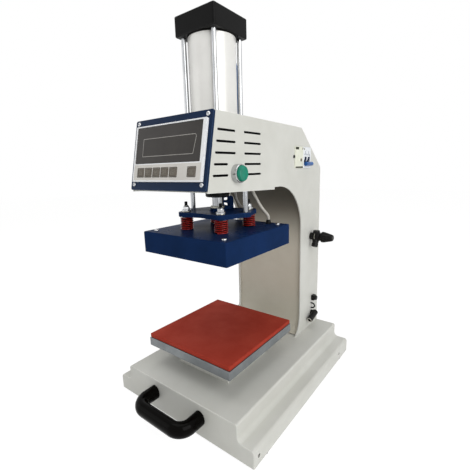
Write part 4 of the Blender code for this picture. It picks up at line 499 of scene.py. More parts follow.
@dataclass(frozen=True)
class Studio:
    """The camera, lamps and floor.

    Attributes:
        eye: Where the camera stands.
        yaw: The camera's turn from +Y towards -X, in degrees.
        pitch: Its tilt upwards, in degrees.
        roll: Its turn about its own view, in degrees.
        lens: Its focal length.
        sensor: The width of its sensor.
        sky: How bright the white world is where it lights the press. It is 1 where the camera sees it.
        floor_side: The floor's side, in metres.
        floor_colour: The floor's paint, as sRGB hex.
        floor_glow: How brightly the floor is lit up, so that it reads as white as the world.
        floor_glow_share: How much of what the camera sees of the floor is that glow.
        lamps: Each lamp's name, its place, the point that it faces, its side and its power in watts.
    """

    eye: tuple[float, float, float] = (397.5, -506.2, 444.1)
    yaw: float = 37.68
    pitch: float = -11.48
    roll: float = -1.55
    lens: float = 24.95
    sensor: float = 36
    sky: float = 0.37
    floor_side: float = 12
    floor_colour: str = "#f2f2f0"
    floor_glow: float = 1.16
    floor_glow_share: float = 0.8
    lamps: tuple[tuple[str, Point, Point, float, float], ...] = (
        ("key_panel", (1500, -500, 900), (0, 0, 300), 1300, 16),
        ("top_panel", (-100, -200, 1900), (0, 0, 300), 1400, 9.5),
        ("left_fill", (-1400, -1300, 700), (0, -40, 300), 1200, 3),
    )

    def camera(self) -> None:
        """Sets up the camera."""
        yaw, pitch, roll = (math.radians(angle) for angle in (self.yaw, self.pitch, self.roll))
        ahead = Vector((-math.sin(yaw) * math.cos(pitch), math.cos(yaw) * math.cos(pitch), math.sin(pitch)))
        level = Vector((math.cos(yaw), math.sin(yaw), 0))
        upright = level.cross(ahead)
        right = level * math.cos(roll) + upright * math.sin(roll)
        up = upright * math.cos(roll) - level * math.sin(roll)
        data = bpy.data.cameras.new("photo_camera")
        data.lens = self.lens
        data.sensor_width = self.sensor
        data.clip_start = 0.01
        camera = added("photo_camera", data)
        turned = Matrix((right, up, -ahead)).transposed().to_4x4()
        camera.matrix_world = Matrix.Translation(Vector(self.eye) * MM) @ turned
        bpy.context.scene.camera = camera

    def lamp(self, name: str, place: Point, aim: Point, size: float, power: float) -> None:
        """Adds a soft lamp.

        Args:
            name: The lamp's name.
            place: Where it stands.
            aim: The point that it faces.
            size: The side of its square panel.
            power: Its power in watts.
        """
        data = bpy.data.lights.new(name, "AREA")
        data.shape = "SQUARE"
        data.size = size * MM
        data.energy = power
        lamp = added(name, data)
        here, there = Vector(place) * MM, Vector(aim) * MM
        turned = (there - here).to_track_quat("-Z", "Y").to_matrix().to_4x4()
        lamp.matrix_world = Matrix.Translation(here) @ turned

    def seen_directly(self, tree: bpy.types.NodeTree) -> bpy.types.NodeSocket:
        """Adds a switch that is 1 for what the camera sees itself, in a mirror or through glass.

        Args:
            tree: The node tree that it goes into.

        Returns:
            The switch's output.
        """
        path = add_node(tree, "ShaderNodeLightPath").outputs
        first = add_node(
            tree, "ShaderNodeMath", {0: path["Is Camera Ray"], 1: path["Is Glossy Ray"]}, operation="MAXIMUM"
        ).outputs[0]
        return add_node(
            tree, "ShaderNodeMath", {0: first, 1: path["Is Transmission Ray"]}, operation="MAXIMUM"
        ).outputs[0]

    def world(self) -> None:
        """Gives the world a white look, and a dimmer plain light for what it lights."""
        world = bpy.data.worlds.new("studio_world")
        bpy.context.scene.world = world
        world.use_nodes = True
        tree = world.node_tree
        tree.nodes.clear()
        seen = self.seen_directly(tree)
        strength = add_node(
            tree, "ShaderNodeMapRange", {"Value": seen, "To Min": self.sky, "To Max": 1.0}
        ).outputs[0]
        sky = add_node(
            tree, "ShaderNodeBackground", {"Color": linear("#ffffff"), "Strength": strength}
        ).outputs[0]
        add_node(tree, "ShaderNodeOutputWorld", {"Surface": sky})

    def floor(self) -> None:
        """Lays a pale floor that keeps a faint shadow."""
        deselect()
        bpy.ops.mesh.primitive_plane_add(size=self.floor_side)
        floor = bpy.context.object
        floor.name = "studio_floor"
        made = bpy.data.materials.new("painted_floor_white")
        made.use_nodes = True
        tree = made.node_tree
        tree.nodes.clear()
        paint = add_node(tree, "ShaderNodeBsdfDiffuse", {"Color": linear(self.floor_colour)}).outputs[0]
        glow = add_node(
            tree, "ShaderNodeEmission", {"Color": linear("#ffffff"), "Strength": self.floor_glow}
        ).outputs[0]
        share = add_node(
            tree,
            "ShaderNodeMath",
            {0: self.seen_directly(tree), 1: self.floor_glow_share},
            operation="MULTIPLY",
        ).outputs[0]
        mixed = add_node(tree, "ShaderNodeMixShader", {0: share, 1: paint, 2: glow}).outputs[0]
        add_node(tree, "ShaderNodeOutputMaterial", {"Surface": mixed})
        floor.data.materials.append(made)

    def build(self) -> None:
        """Sets up the whole studio."""
        self.camera()
        self.world()
        self.floor()
        for lamp in self.lamps:
            self.lamp(*lamp)
        bpy.context.scene.view_settings.view_transform = "Standard"


def added(name: str, data: bpy.types.ID) -> bpy.types.Object:
    """Adds an object to the scene.

    Args:
        name: Its name.
        data: The mesh, curve, camera or lamp that it holds.

    Returns:
        The object.
    """
    made = bpy.data.objects.new(name, data)
    bpy.context.scene.collection.objects.link(made)
    return made


def deselect() -> None:
    """Leaves edit mode and selects nothing."""
    if bpy.context.mode != "OBJECT":
        bpy.ops.object.mode_set(mode="OBJECT")
    bpy.ops.object.select_all(action="DESELECT")


def take(piece: Piece) -> Piece:
    """Makes a piece the only selected one, and the active one.

    Args:
        piece: The piece to select.

    Returns:
        The piece.
    """
    deselect()
    piece.select_set(True)
    bpy.context.view_layer.objects.active = piece
    return piece


def settle(piece: Piece, name: str) -> Piece:
    """Names a piece and puts its place, turn and scale into its mesh.

    Args:
        piece: The piece to settle.
        name: Its name.

    Returns:
        The piece.
    """
    take(piece)
    bpy.ops.object.transform_apply(location=True, rotation=True, scale=True)
    piece.name = name
    piece.data.name = name
    return piece


def modify(piece: Piece, kind: str, **settings: object) -> Piece:
    """Adds one modifier and applies it.

    Args:
        piece: The piece to shape.
        kind: The modifier's type.
        **settings: The modifier's properties.

    Returns:
        The piece.
    """
    take(piece)
    step = piece.modifiers.new(kind.lower(), kind)
    for key, value in settings.items():
        setattr(step, key, value)
    bpy.ops.object.modifier_apply(modifier=step.name)
    return piece


def ease(piece: Piece, width: float, segments: int = 3, angle: float = 30) -> Piece:
    """Rounds a piece's sharp edges.

    Args:
        piece: The piece to shape.
        width: How far the rounding runs from the edge.
        segments: How many flats it is made of.
        angle: The least angle, in degrees, of an edge that is rounded.

    Returns:
        The piece.
    """
    return modify(
        piece,
        "BEVEL",
        width=width * MM,
        segments=segments,
        limit_method="ANGLE",
        angle_limit=math.radians(angle),
        use_clamp_overlap=True,
    )


def tidy(piece: Piece) -> Piece:
    """Merges doubled points and turns every face outwards.

    Args:
        piece: The piece to clean.

    Returns:
        The piece.
    """
    take(piece)
    bpy.ops.object.mode_set(mode="EDIT")
    bpy.ops.mesh.select_all(action="SELECT")
    bpy.ops.mesh.remove_doubles(threshold=0.001 * MM)
    bpy.ops.mesh.normals_make_consistent(inside=False)
    bpy.ops.object.mode_set(mode="OBJECT")
    return piece


def block(name: str, low: Point, high: Point, edge: float = 0, segments: int = 3) -> Piece:
    """Adds a block with eased edges between two corners.

    Args:
        name: The piece's name.
        low: Its lowest corner.
        high: Its highest corner.
        edge: The width of its eased edges.
        segments: How many flats each eased edge has.

    Returns:
        The piece.
    """
    deselect()
    bpy.ops.mesh.primitive_cube_add(
        size=1,
        location=[(a + b) / 2 * MM for a, b in zip(low, high)],
        scale=[abs(b - a) * MM for a, b in zip(low, high)],
    )
    made = settle(bpy.context.object, name)
    return ease(made, edge, segments) if edge else made


def turn(
    name: str,
    rings: Sequence[Pair],
    centre: Point = (0, 0, 0),
    axis: Point = (0, 0, 1),
    steps: int = FINE,
    pierced: bool = False,
) -> Piece:
    """Turns a round piece by drawing one ring out of the one before.

    Args:
        name: The piece's name.
        rings: The (radius, height) of each ring, up the outer side.
        centre: Where height 0 lies.
        axis: The direction of its height.
        steps: How many flats go round it.
        pierced: True where the rings run on down a bore and back to the first.

    Returns:
        The piece.
    """
    deselect()
    radius, height = rings[0]
    bpy.ops.mesh.primitive_circle_add(
        vertices=steps,
        radius=radius * MM,
        location=(0, 0, height * MM),
        fill_type="NOTHING" if pierced else "NGON",
    )
    made = bpy.context.object
    bpy.ops.object.mode_set(mode="EDIT")
    bpy.ops.mesh.select_all(action="SELECT")
    drawn = [*rings, rings[0]] if pierced else rings
    for (before, start), (after, end) in zip(drawn, drawn[1:]):
        bpy.ops.mesh.extrude_region_move(TRANSFORM_OT_translate={"value": (0, 0, (end - start) * MM)})
        share = after / before
        bpy.ops.transform.resize(value=(share, share, 1), center_override=(0, 0, 0))
    made = tidy(made)
    made.matrix_world = standing(centre, axis) @ made.matrix_world
    return settle(made, name)


def arc(centre: Pair, radii: float | Pair, start: float, end: float, steps: int = 12) -> list[Pair]:
    """Lists points along a circle or an ellipse.

    Args:
        centre: Its middle.
        radii: Its radius, or an ellipse's two radii.
        start: The angle of the first point, in degrees.
        end: The angle of the last point, in degrees.
        steps: How many flats lie between them.

    Returns:
        The points.
    """
    wide, high = radii if isinstance(radii, tuple) else (radii, radii)
    angles = [math.radians(start + (end - start) * i / steps) for i in range(steps + 1)]
    return [(centre[0] + wide * math.cos(a), centre[1] + high * math.sin(a)) for a in angles]


def rounded(
    corners: Sequence[tuple[float, float, float]], closed: bool = True, steps: int = 8
) -> list[Pair]:
    """Rounds the corners of an outline.

    Args:
        corners: Each corner's two coordinates and its radius.
        closed: False for an open path, whose ends stay sharp.
        steps: How many flats each corner has.

    Returns:
        The outline's points.
    """
    points = []
    count = len(corners)
    for i, (x, y, radius) in enumerate(corners):
        here = Vector((x, y))
        if not radius or (not closed and i in (0, count - 1)):
            points.append((x, y))
            continue
        before = (Vector(corners[i - 1][:2]) - here).normalized()
        after = (Vector(corners[(i + 1) % count][:2]) - here).normalized()
        half = before.angle(after) / 2
        centre = here + (before + after).normalized() * radius / math.sin(half)
        first = here + before * radius / math.tan(half) - centre
        sweep = first.angle_signed(here + after * radius / math.tan(half) - centre)
        for step in range(steps + 1):
            spoke = first.copy()
            spoke.rotate(Matrix.Rotation(-sweep * step / steps, 2))
            points.append(tuple(centre + spoke))
    return points


def oblong(low: Point, high: Point, radius: float, steps: int = 5) -> list[Pair]:
    """Lists the outline of a rectangle with rounded corners.

    Args:
        low: Its lowest corner.
        high: Its highest corner.
        radius: The radius of its corners.
        steps: How many flats each corner has.

    Returns:
        The outline's points.
    """
    corners = ((low[0], low[1]), (high[0], low[1]), (high[0], high[1]), (low[0], high[1]))
    return rounded([(*corner, radius) for corner in corners], steps=steps)


def square(middle: float, reach: float) -> list[Pair]:
    """Lists the corners of a square on the middle plane, row by row from the front left.

    Args:
        middle: The y of its middle.
        reach: Half its side.

    Returns:
        The corners.
    """
    return [(x, middle + y) for y in (-reach, reach) for x in (-reach, reach)]


class Across(Enum):
    """The axis that a flat outline stands across, with the turn that puts it there."""

    X = (math.pi / 2, 0, math.pi / 2)
    Y = (math.pi / 2, 0, 0)
    Z = (0, 0, 0)


def plate(
    name: str,
    outline: Sequence[Pair],
    across: Across,
    low: float,
    high: float,
    holes: Iterable[Sequence[Pair]] = (),
) -> Piece:
    """Cuts a flat plate from an outline.

    Args:
        name: The piece's name.
        outline: Its outline: (y, z) across X, (x, z) across Y or (x, y) across Z.
        across: The axis that it stands across.
        low: Where it starts on that axis.
        high: Where it ends on that axis.
        holes: The outlines of its holes.

    Returns:
        The piece.
    """
    data = bpy.data.curves.new(name, "CURVE")
    data.dimensions = "2D"
    data.fill_mode = "BOTH"
    data.extrude = (high - low) / 2 * MM
    for edge in (outline, *holes):
        spline = data.splines.new("POLY")
        spline.points.add(len(edge) - 1)
        for point, (x, y) in zip(spline.points, edge):
            point.co = (x * MM, y * MM, 0, 1)
        spline.use_cyclic_u = True
    take(added(name, data))
    bpy.ops.object.convert(target="MESH")
    made = bpy.context.object
    tidy(made)
    bpy.ops.object.mode_set(mode="EDIT")
    bpy.ops.mesh.select_all(action="SELECT")
    bpy.ops.mesh.dissolve_limited(angle_limit=math.radians(0.5))
    bpy.ops.object.mode_set(mode="OBJECT")
    made.rotation_euler = across.value
    made.location["XYZ".index(across.name)] = (low + high) / 2 * MM
    return settle(made, name)


def wire(name: str, points: Sequence[Point], radius: float, sides: int = 3) -> Piece:
    """Draws a round wire or tube along points.

    Args:
        name: The piece's name.
        points: The points of its centre line.
        radius: Its radius.
        sides: Blender's bevel resolution.

    Returns:
        The piece.
    """
    data = bpy.data.curves.new(name, "CURVE")
    data.dimensions = "3D"
    data.bevel_depth = radius * MM
    data.bevel_resolution = sides
    data.use_fill_caps = True
    spline = data.splines.new("POLY")
    spline.points.add(len(points) - 1)
    for point, place in zip(spline.points, points):
        point.co = (*(Vector(place) * MM), 1)
    take(added(name, data))
    bpy.ops.object.convert(target="MESH")
    return tidy(settle(bpy.context.object, name))


def carve(piece: Piece, *cutters: Piece, operation: str = "DIFFERENCE") -> Piece:
    """Cuts pieces out of a piece, or joins them to it, and clears them away.

    Args:
        piece: The piece to shape.
        *cutters: The pieces to cut out or join on.
        operation: The Boolean's operation.

    Returns:
        The piece.
    """
    for cutter in cutters:
        modify(piece, "BOOLEAN", operation=operation, object=cutter, solver="EXACT")
        bpy.data.objects.remove(cutter, do_unlink=True)
    return piece


def join(name: str, pieces: Sequence[Piece]) -> Piece:
    """Joins separate solids into one piece, each with the finish it has.

    Args:
        name: The joined piece's name.
        pieces: The solids.

    Returns:
        The joined piece.
    """
    deselect()
    for piece in pieces:
        piece.select_set(True)
    bpy.context.view_layer.objects.active = pieces[0]
    bpy.ops.object.join()
    return settle(bpy.context.object, name)


def placed_copy(piece: Piece, name: str, place: Matrix) -> Piece:
    """Copies a piece with its own mesh, and puts the copy's place into that mesh.

    Args:
        piece: The piece to copy.
        name: The copy's name.
        place: The move and turn, in metres.

    Returns:
        The copy.
    """
    made = piece.copy()
    made.data = piece.data.copy()
    made.data.transform(place)
    made.name = name
    bpy.context.scene.collection.objects.link(made)
    return made


def standing(place: Point, axis: Point = (0, 0, 1), spin: float = 0) -> Matrix:
    """Gives the matrix that stands a piece made at the origin on a place.

    Args:
        place: Where the piece's origin goes.
        axis: The direction that its +Z faces.
        spin: Its turn about that direction, in degrees.

    Returns:
        The matrix, in metres.
    """
    turned = Vector(axis).to_track_quat("Z", "Y").to_matrix().to_4x4()
    return Matrix.Translation(Vector(place) * MM) @ turned @ Matrix.Rotation(math.radians(spin), 4, "Z")


def painted(piece: Piece, finish: Finish) -> Piece:
    """Gives a piece its finish, and smooth shading across its gentle edges that keeps its flats flat.

    Args:
        piece: The piece.
        finish: Its finish.

    Returns:
        The piece.
    """
    piece.data.materials.clear()
    piece.data.materials.append(finish.material())
    take(piece)
    bpy.ops.object.shade_smooth_by_angle(angle=math.radians(GENTLE_EDGE))
    return modify(piece, "WEIGHTED_NORMAL", keep_sharp=True)


def fit(piece: Piece, body: str, slot: str, *nodes: str) -> Piece:
    """Hands a finished piece to the body that it moves with.

    Args:
        piece: The piece.
        body: The CAD body.
        slot: Not used.
        *nodes: The CAD nodes that the piece stands for.

    Returns:
        The piece.
    """
    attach(piece, body)
    if nodes:
        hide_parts(*nodes)
    LOG.info("%s rides on %s, %d faces", piece.name, body, len(piece.data.polygons))
    return piece


class Head(Enum):
    """The heads of the screws and nuts."""

    DOME = "button head with a hexagon socket"
    PAN = "pan head with a cross"
    ACORN = "domed cap nut on a washer"


def fastener(head: Head, radius: float, height: float) -> Piece:
    """Models one screw head or nut at the origin, facing +Z.

    Args:
        head: Its kind.
        radius: Half its width.
        height: How far it stands up.

    Returns:
        The piece.
    """
    if head in (Head.DOME, Head.PAN):
        shares = ((1, 0), (1, 0.3), (0.95, 0.55), (0.82, 0.78), (0.6, 0.93), (0.3, 1))
        made = turn("screw", [(radius * wide, height * high) for wide, high in shares], steps=ROUND)
        if head is Head.DOME:
            deselect()
            bpy.ops.mesh.primitive_cylinder_add(
                vertices=6,
                radius=radius * 0.42 * MM,
                depth=height * MM,
                location=(0, 0, height * 0.95 * MM),
            )
            return carve(made, settle(bpy.context.object, "socket"))
        long, thin = radius * 0.6, radius * 0.11
        bars = [
            block("bar", (-a, -b, height * 0.5), (a, b, height * 1.5))
            for a, b in ((long, thin), (thin, long))
        ]
        return carve(made, *bars)
    seat, top = height * 0.2, height * 0.6
    washer = turn("washer", [(radius * 1.3, 0), (radius * 1.3, seat), (radius * 0.8, seat)], steps=ROUND)
    deselect()
    bpy.ops.mesh.primitive_cylinder_add(
        vertices=6, radius=radius * MM, depth=(top - seat) * MM, location=(0, 0, (top + seat) / 2 * MM)
    )
    nut = ease(settle(bpy.context.object, "nut"), radius * 0.07, 2)
    shares = ((0.84, 0.55), (0.82, 0.7), (0.68, 0.86), (0.42, 0.97), (0.15, 1))
    dome = turn("dome", [(radius * wide, height * high) for wide, high in shares], steps=ROUND)
    return join("nut", [washer, nut, dome])


def fasteners(
    name: str, head: Head, radius: float, height: float, places: Sequence[Point], axis: Point = (0, 0, 1)
) -> Piece:
    """Models one fastener and copies it to every place, as one piece.

    Args:
        name: The piece's name.
        head: The kind of fastener.
        radius: Half its width.
        height: How far it stands up.
        places: The seat of each.
        axis: The direction that they all face.

    Returns:
        The piece.
    """
    pattern = fastener(head, radius, height)
    made = [
        placed_copy(pattern, f"{name}_{i}", standing(place, axis, 17 * i))
        for i, place in enumerate(places)
    ]
    bpy.data.objects.remove(pattern, do_unlink=True)
    return join(name, made)


def smooth_route(points: Sequence[Point], steps: int = 8) -> list[Vector]:
    """Draws a smooth curve through a route's points, with its first and its last span left straight.

    Args:
        points: The points that the route runs through.
        steps: How many spans lie between one point and the next.

    Returns:
        The points of the curve.
    """
    route = [Vector(point) for point in points]
    inner = route[1:-1]
    leaving = (inner[0] - route[0]).normalized() * (inner[1] - inner[0]).length
    arriving = (route[-1] - inner[-1]).normalized() * (inner[-1] - inner[-2]).length
    knots = [inner[1] - leaving, *inner, inner[-2] + arriving]
    drawn = [route[0]]
    for a, b, c, d in zip(knots, knots[1:], knots[2:], knots[3:]):
        for i in range(steps):
            t = i / steps
            bend = (2 * a - 5 * b + 4 * c - d) * t**2 + (3 * b - a - 3 * c + d) * t**3
            drawn.append((2 * b + (c - a) * t + bend) / 2)
    return [*drawn, inner[-1], route[-1]]


@dataclass
class Base:
    """The folded base pan, its rubber feet and the handle that it is carried by."""

    half: float = 165
    box_half: float = 134
    rim: float = 3
    ledge: float = 34
    top: float = 64.5
    front: float = -174
    rear: float = 228
    sheet: float = 2
    lip: float = 147
    hole_radius: float = 3.5
    hole_rows: tuple[float, ...] = (-160, 176)
    foot_rows: tuple[float, ...] = (-134, 188)
    foot_half: float = 156
    grip_half: float = 56.5
    grip_front: float = -216.5
    grip_bend: float = 21
    grip_radius: float = 11.3
    grip_stretch: float = 1.2
    grip_z: float = 39.4

    def section(self, inset: float) -> list[Pair]:
        """Lists the pan's outline as seen from the front.

        Args:
            inset: How far the outline is set in.

        Returns:
            The outline's (x, z) points.
        """
        half, box_half = self.half - inset, self.box_half - inset
        right = [
            (half, self.rim + inset, 0),
            (half, self.ledge - inset, 6 - inset),
            (box_half, self.ledge - inset, 9 + inset),
            (box_half, self.top - inset, 4 - inset),
        ]
        return rounded(right + [(-x, z, radius) for x, z, radius in reversed(right)])

    def pan(self) -> None:
        """Folds the pan, with its inner space, the lip round its foot and the holes in its sides."""
        pan = plate("base_pan_shell", self.section(0), Across.Y, self.front, self.rear)
        ease(pan, 1.6, 4, 50)
        start, end = self.front + self.sheet, self.rear - self.sheet
        hollow = plate("hollow", self.section(self.sheet), Across.Y, start, end)
        deep = 2 * self.sheet
        mouth = block("mouth", (-self.lip, self.front + deep, -5), (self.lip, self.rear - deep, 9))
        holes = [
            turn(
                "hole",
                [(self.hole_radius, -6), (self.hole_radius, 6)],
                (side * self.half, y, (self.rim + self.ledge) / 2),
                (side, 0, 0),
                ROUND,
            )
            for side in (-1, 1)
            for y in self.hole_rows
        ]
        carve(pan, hollow, mouth, *holes)
        fit(painted(pan, POWDER_COAT), "frame", "painted_steel", "base_pan")

    def feet(self) -> None:
        """Moulds the four feet."""
        for end, y in zip(("front", "rear"), self.foot_rows):
            for side, x in (("left", -self.foot_half), ("right", self.foot_half)):
                rings = [(6.4, 0), (7.6, 0.5), (8, 1.4), (8, 2.7)]
                foot = turn(f"rubber_foot_{end}_{side}", rings, (x, y, 0), steps=ROUND)
                fit(painted(foot, RUBBER), "frame", "rubber", f"foot_{end}_{side}")

    def handle(self) -> None:
        """Moulds the handle, with its ends cut flat against the pan."""
        x, y, bend, root = self.grip_half, self.grip_front, self.grip_bend, self.front + 14
        path = rounded([(-x, root, 0), (-x, y, bend), (x, y, bend), (x, root, 0)], closed=False, steps=14)
        handle = wire("handle_grip", [(x, y, 0) for x, y in path], self.grip_radius, 7)
        stretched = Matrix.Diagonal((1, 1, self.grip_stretch, 1))
        handle.data.transform(Matrix.Translation((0, 0, self.grip_z * MM)) @ stretched)
        carve(handle, block("end_trim", (-90, self.front - 0.3, 0), (90, -120, 80)))
        fit(painted(handle, PHENOLIC), "frame", "black_plastic", "carry_handle")

    def build(self) -> None:
        """Builds the base."""
        self.pan()
        self.feet()
        self.handle()


@dataclass
class LowerPlaten:
    """The fixed platen with its sponge pad, on a welded riser."""

    middle: float = -42
    half: float = 100
    front: float = -145
    rear: float = 61
    low: float = 107.5
    top: float = 124
    pad_inset: float = 1.2
    pad_top: float = 132.3
    riser_foot: float = 64.8
    flange: float = 63
    flange_top: float = 70.8
    tower: float = 45

    def platen(self) -> None:
        """Mills the platen and lays the pad on it."""
        plate_low, plate_high = (-self.half, self.front, self.low), (self.half, self.rear, self.top)
        bed = block("platen_bed", plate_low, plate_high, 0.9, 3)
        fit(painted(bed, MILLED_ALUMINIUM), "frame", "aluminium", "lower_platen")
        side, inset = self.half - self.pad_inset, self.pad_inset
        corners = (-side, self.front + inset, self.top + 0.3), (side, self.rear - inset, self.pad_top)
        pad = block("sponge_pad", *corners, 1.5, 4)
        fit(painted(pad, SILICONE_SPONGE), "frame", "silicone", "silicone_pad")

    def riser(self) -> None:
        """Welds the riser's tower to its flange, and bolts the flange down."""
        foot, post, y = self.flange, self.tower, self.middle
        top = self.flange_top
        flange = block("flange", (-foot, y - foot, self.riser_foot), (foot, y + foot, top), 1, 2)
        tower = block("tower", (-post, y - post, top - 1), (post, y + post, self.low - 0.3), 4, 4)
        carve(flange, tower, operation="UNION")
        bore = post - 5
        carve(flange, block("bore", (-bore, y - bore, 40), (bore, y + bore, 140)))
        fit(painted(flange, POWDER_COAT), "frame", "painted_steel", "platen_riser")
        around = oblong((-post, y - post), (post, y + post), 4)
        path = [(x, y, top + 0.4) for x, y in (*around, around[0])]
        bead = wire("riser_weld", path, 1.7, 2)
        fit(painted(bead, POWDER_COAT), "frame", "painted_steel")
        reach = (foot + post) / 2
        seats = [(a * reach, y + b * reach, top) for a in (-1, 1) for b in (-1, 1)]
        bolts = fasteners("riser_bolts", Head.DOME, 5, 4, seats)
        fit(painted(bolts, ZINC_STEEL), "frame", "steel")

    def build(self) -> None:
        """Builds the lower platen."""
        self.platen()
        self.riser()


@dataclass
class HeatPlaten:
    """The moving heat platen: its heater block, sheet cover, glands and spring bolts."""

    middle: float = -42
    half: float = 98
    front: float = -141
    rear: float = 57
    low: float = 297.3
    top: float = 335.8
    sheet: float = 1.5
    edge: float = 2.2
    spring_offset: float = 41.5
    screw_inset: float = 17
    plate_top: float = 368.4
    heater_low: tuple[float, float, float] = (-95.5, -138.5, 296.3)
    heater_high: tuple[float, float, float] = (95.5, 54.5, 318.3)
    glands: tuple[Pair, ...] = ((59, 42), (23.5, 20))
    thread_turns: int = 21
    thread_pitch: float = 0.95
    bolt_top: float = 387.5
    shade_core_radius: float = 10.4

    def block_and_cover(self) -> None:
        """Machines the heater block and folds its cover."""
        heater = block("heater_plate", self.heater_low, self.heater_high, 0.7, 3)
        fit(painted(heater, MILLED_ALUMINIUM), "platen", "aluminium", "heater_block")
        side, sheet, low = self.half - self.sheet, self.sheet, self.low
        outer = (-self.half, self.front, low - 9), (self.half, self.rear, self.top)
        cover = block("cover_sheet", *outer, self.edge, 5)
        carve(cover, block("trim", (-150, -200, low - 20), (150, 150, low)))
        inner = (-side, self.front + sheet, low - 20), (side, self.rear - sheet, self.top - sheet)
        carve(cover, block("inner", *inner))
        fit(painted(cover, NAVY_ENAMEL), "platen", "navy_paint", "heater_cover")

    def fittings(self) -> None:
        """Fits the cover's screws and the glands of the two leads."""
        x = self.half - self.screw_inset
        rows = (self.front + self.screw_inset, self.rear - self.screw_inset)
        seats = [(side * x, y, self.top) for side in (-1, 1) for y in rows]
        screws = fasteners("cover_screws", Head.DOME, 4.2, 3, seats)
        fit(painted(screws, BRIGHT_STEEL), "platen", "steel")
        for name, (x, y) in zip(("heater", "sensor"), self.glands):
            rings = [(5.8, 0), (5.8, 1.6), (5, 2), (4.8, 4.4), (4.4, 6.6), (3.9, 7.6), (3.4, 8)]
            gland = turn(f"{name}_gland", rings, (x, y, self.top), steps=ROUND)
            fit(painted(gland, MOULDED_NYLON), "platen", "black_plastic")

    def bolts(self) -> None:
        """Turns each spring bolt, with a cut thread above its washer and nut."""
        pattern = fastener(Head.ACORN, 6.5, 11)
        plate_top, wide = self.plate_top, self.shade_core_radius
        rings = [(3, 334.3), (3, plate_top - 3)]
        for i in range(self.thread_turns):
            z = plate_top - 2 + i * self.thread_pitch
            rings += [(2.62, z), (2.98, z + 0.42), (2.98, z + 0.52)]
        rings += [(2.6, self.bolt_top - 0.5), (2.1, self.bolt_top)]
        # The black core inside each spring is painted shade that darkens the gaps between its coils.
        tube = [(wide, self.top + 0.3), (wide, 355.4), (3.2, 355.4)]
        disc = [(8, 0), (8, 0.7), (7.44, 1.6)]
        for number, (x, y) in enumerate(square(self.middle, self.spring_offset), 1):
            bolt = painted(turn(f"bolt_{number}", rings, (x, y, 0), steps=24), BLACK_STEEL)
            sleeve = turn("sleeve", tube, (x, y, 0), steps=ROUND)
            washer = turn("washer", disc, (x, y, plate_top + 0.3), steps=ROUND)
            nut = placed_copy(pattern, "nut", standing((x, y, plate_top + 1.9), spin=23 * number))
            dressed = [
                bolt,
                painted(sleeve, BLACK_SHADE_SHEET),
                painted(washer, ZINC_STEEL),
                painted(nut, BRIGHT_STEEL),
            ]
            made = join(f"spring_bolt_set_{number}", dressed)
            fit(made, "platen", "steel", f"spring_bolt_{number}")
        bpy.data.objects.remove(pattern, do_unlink=True)

    def build(self) -> None:
        """Builds the heat platen."""
        self.block_and_cover()
        self.fittings()
        self.bolts()


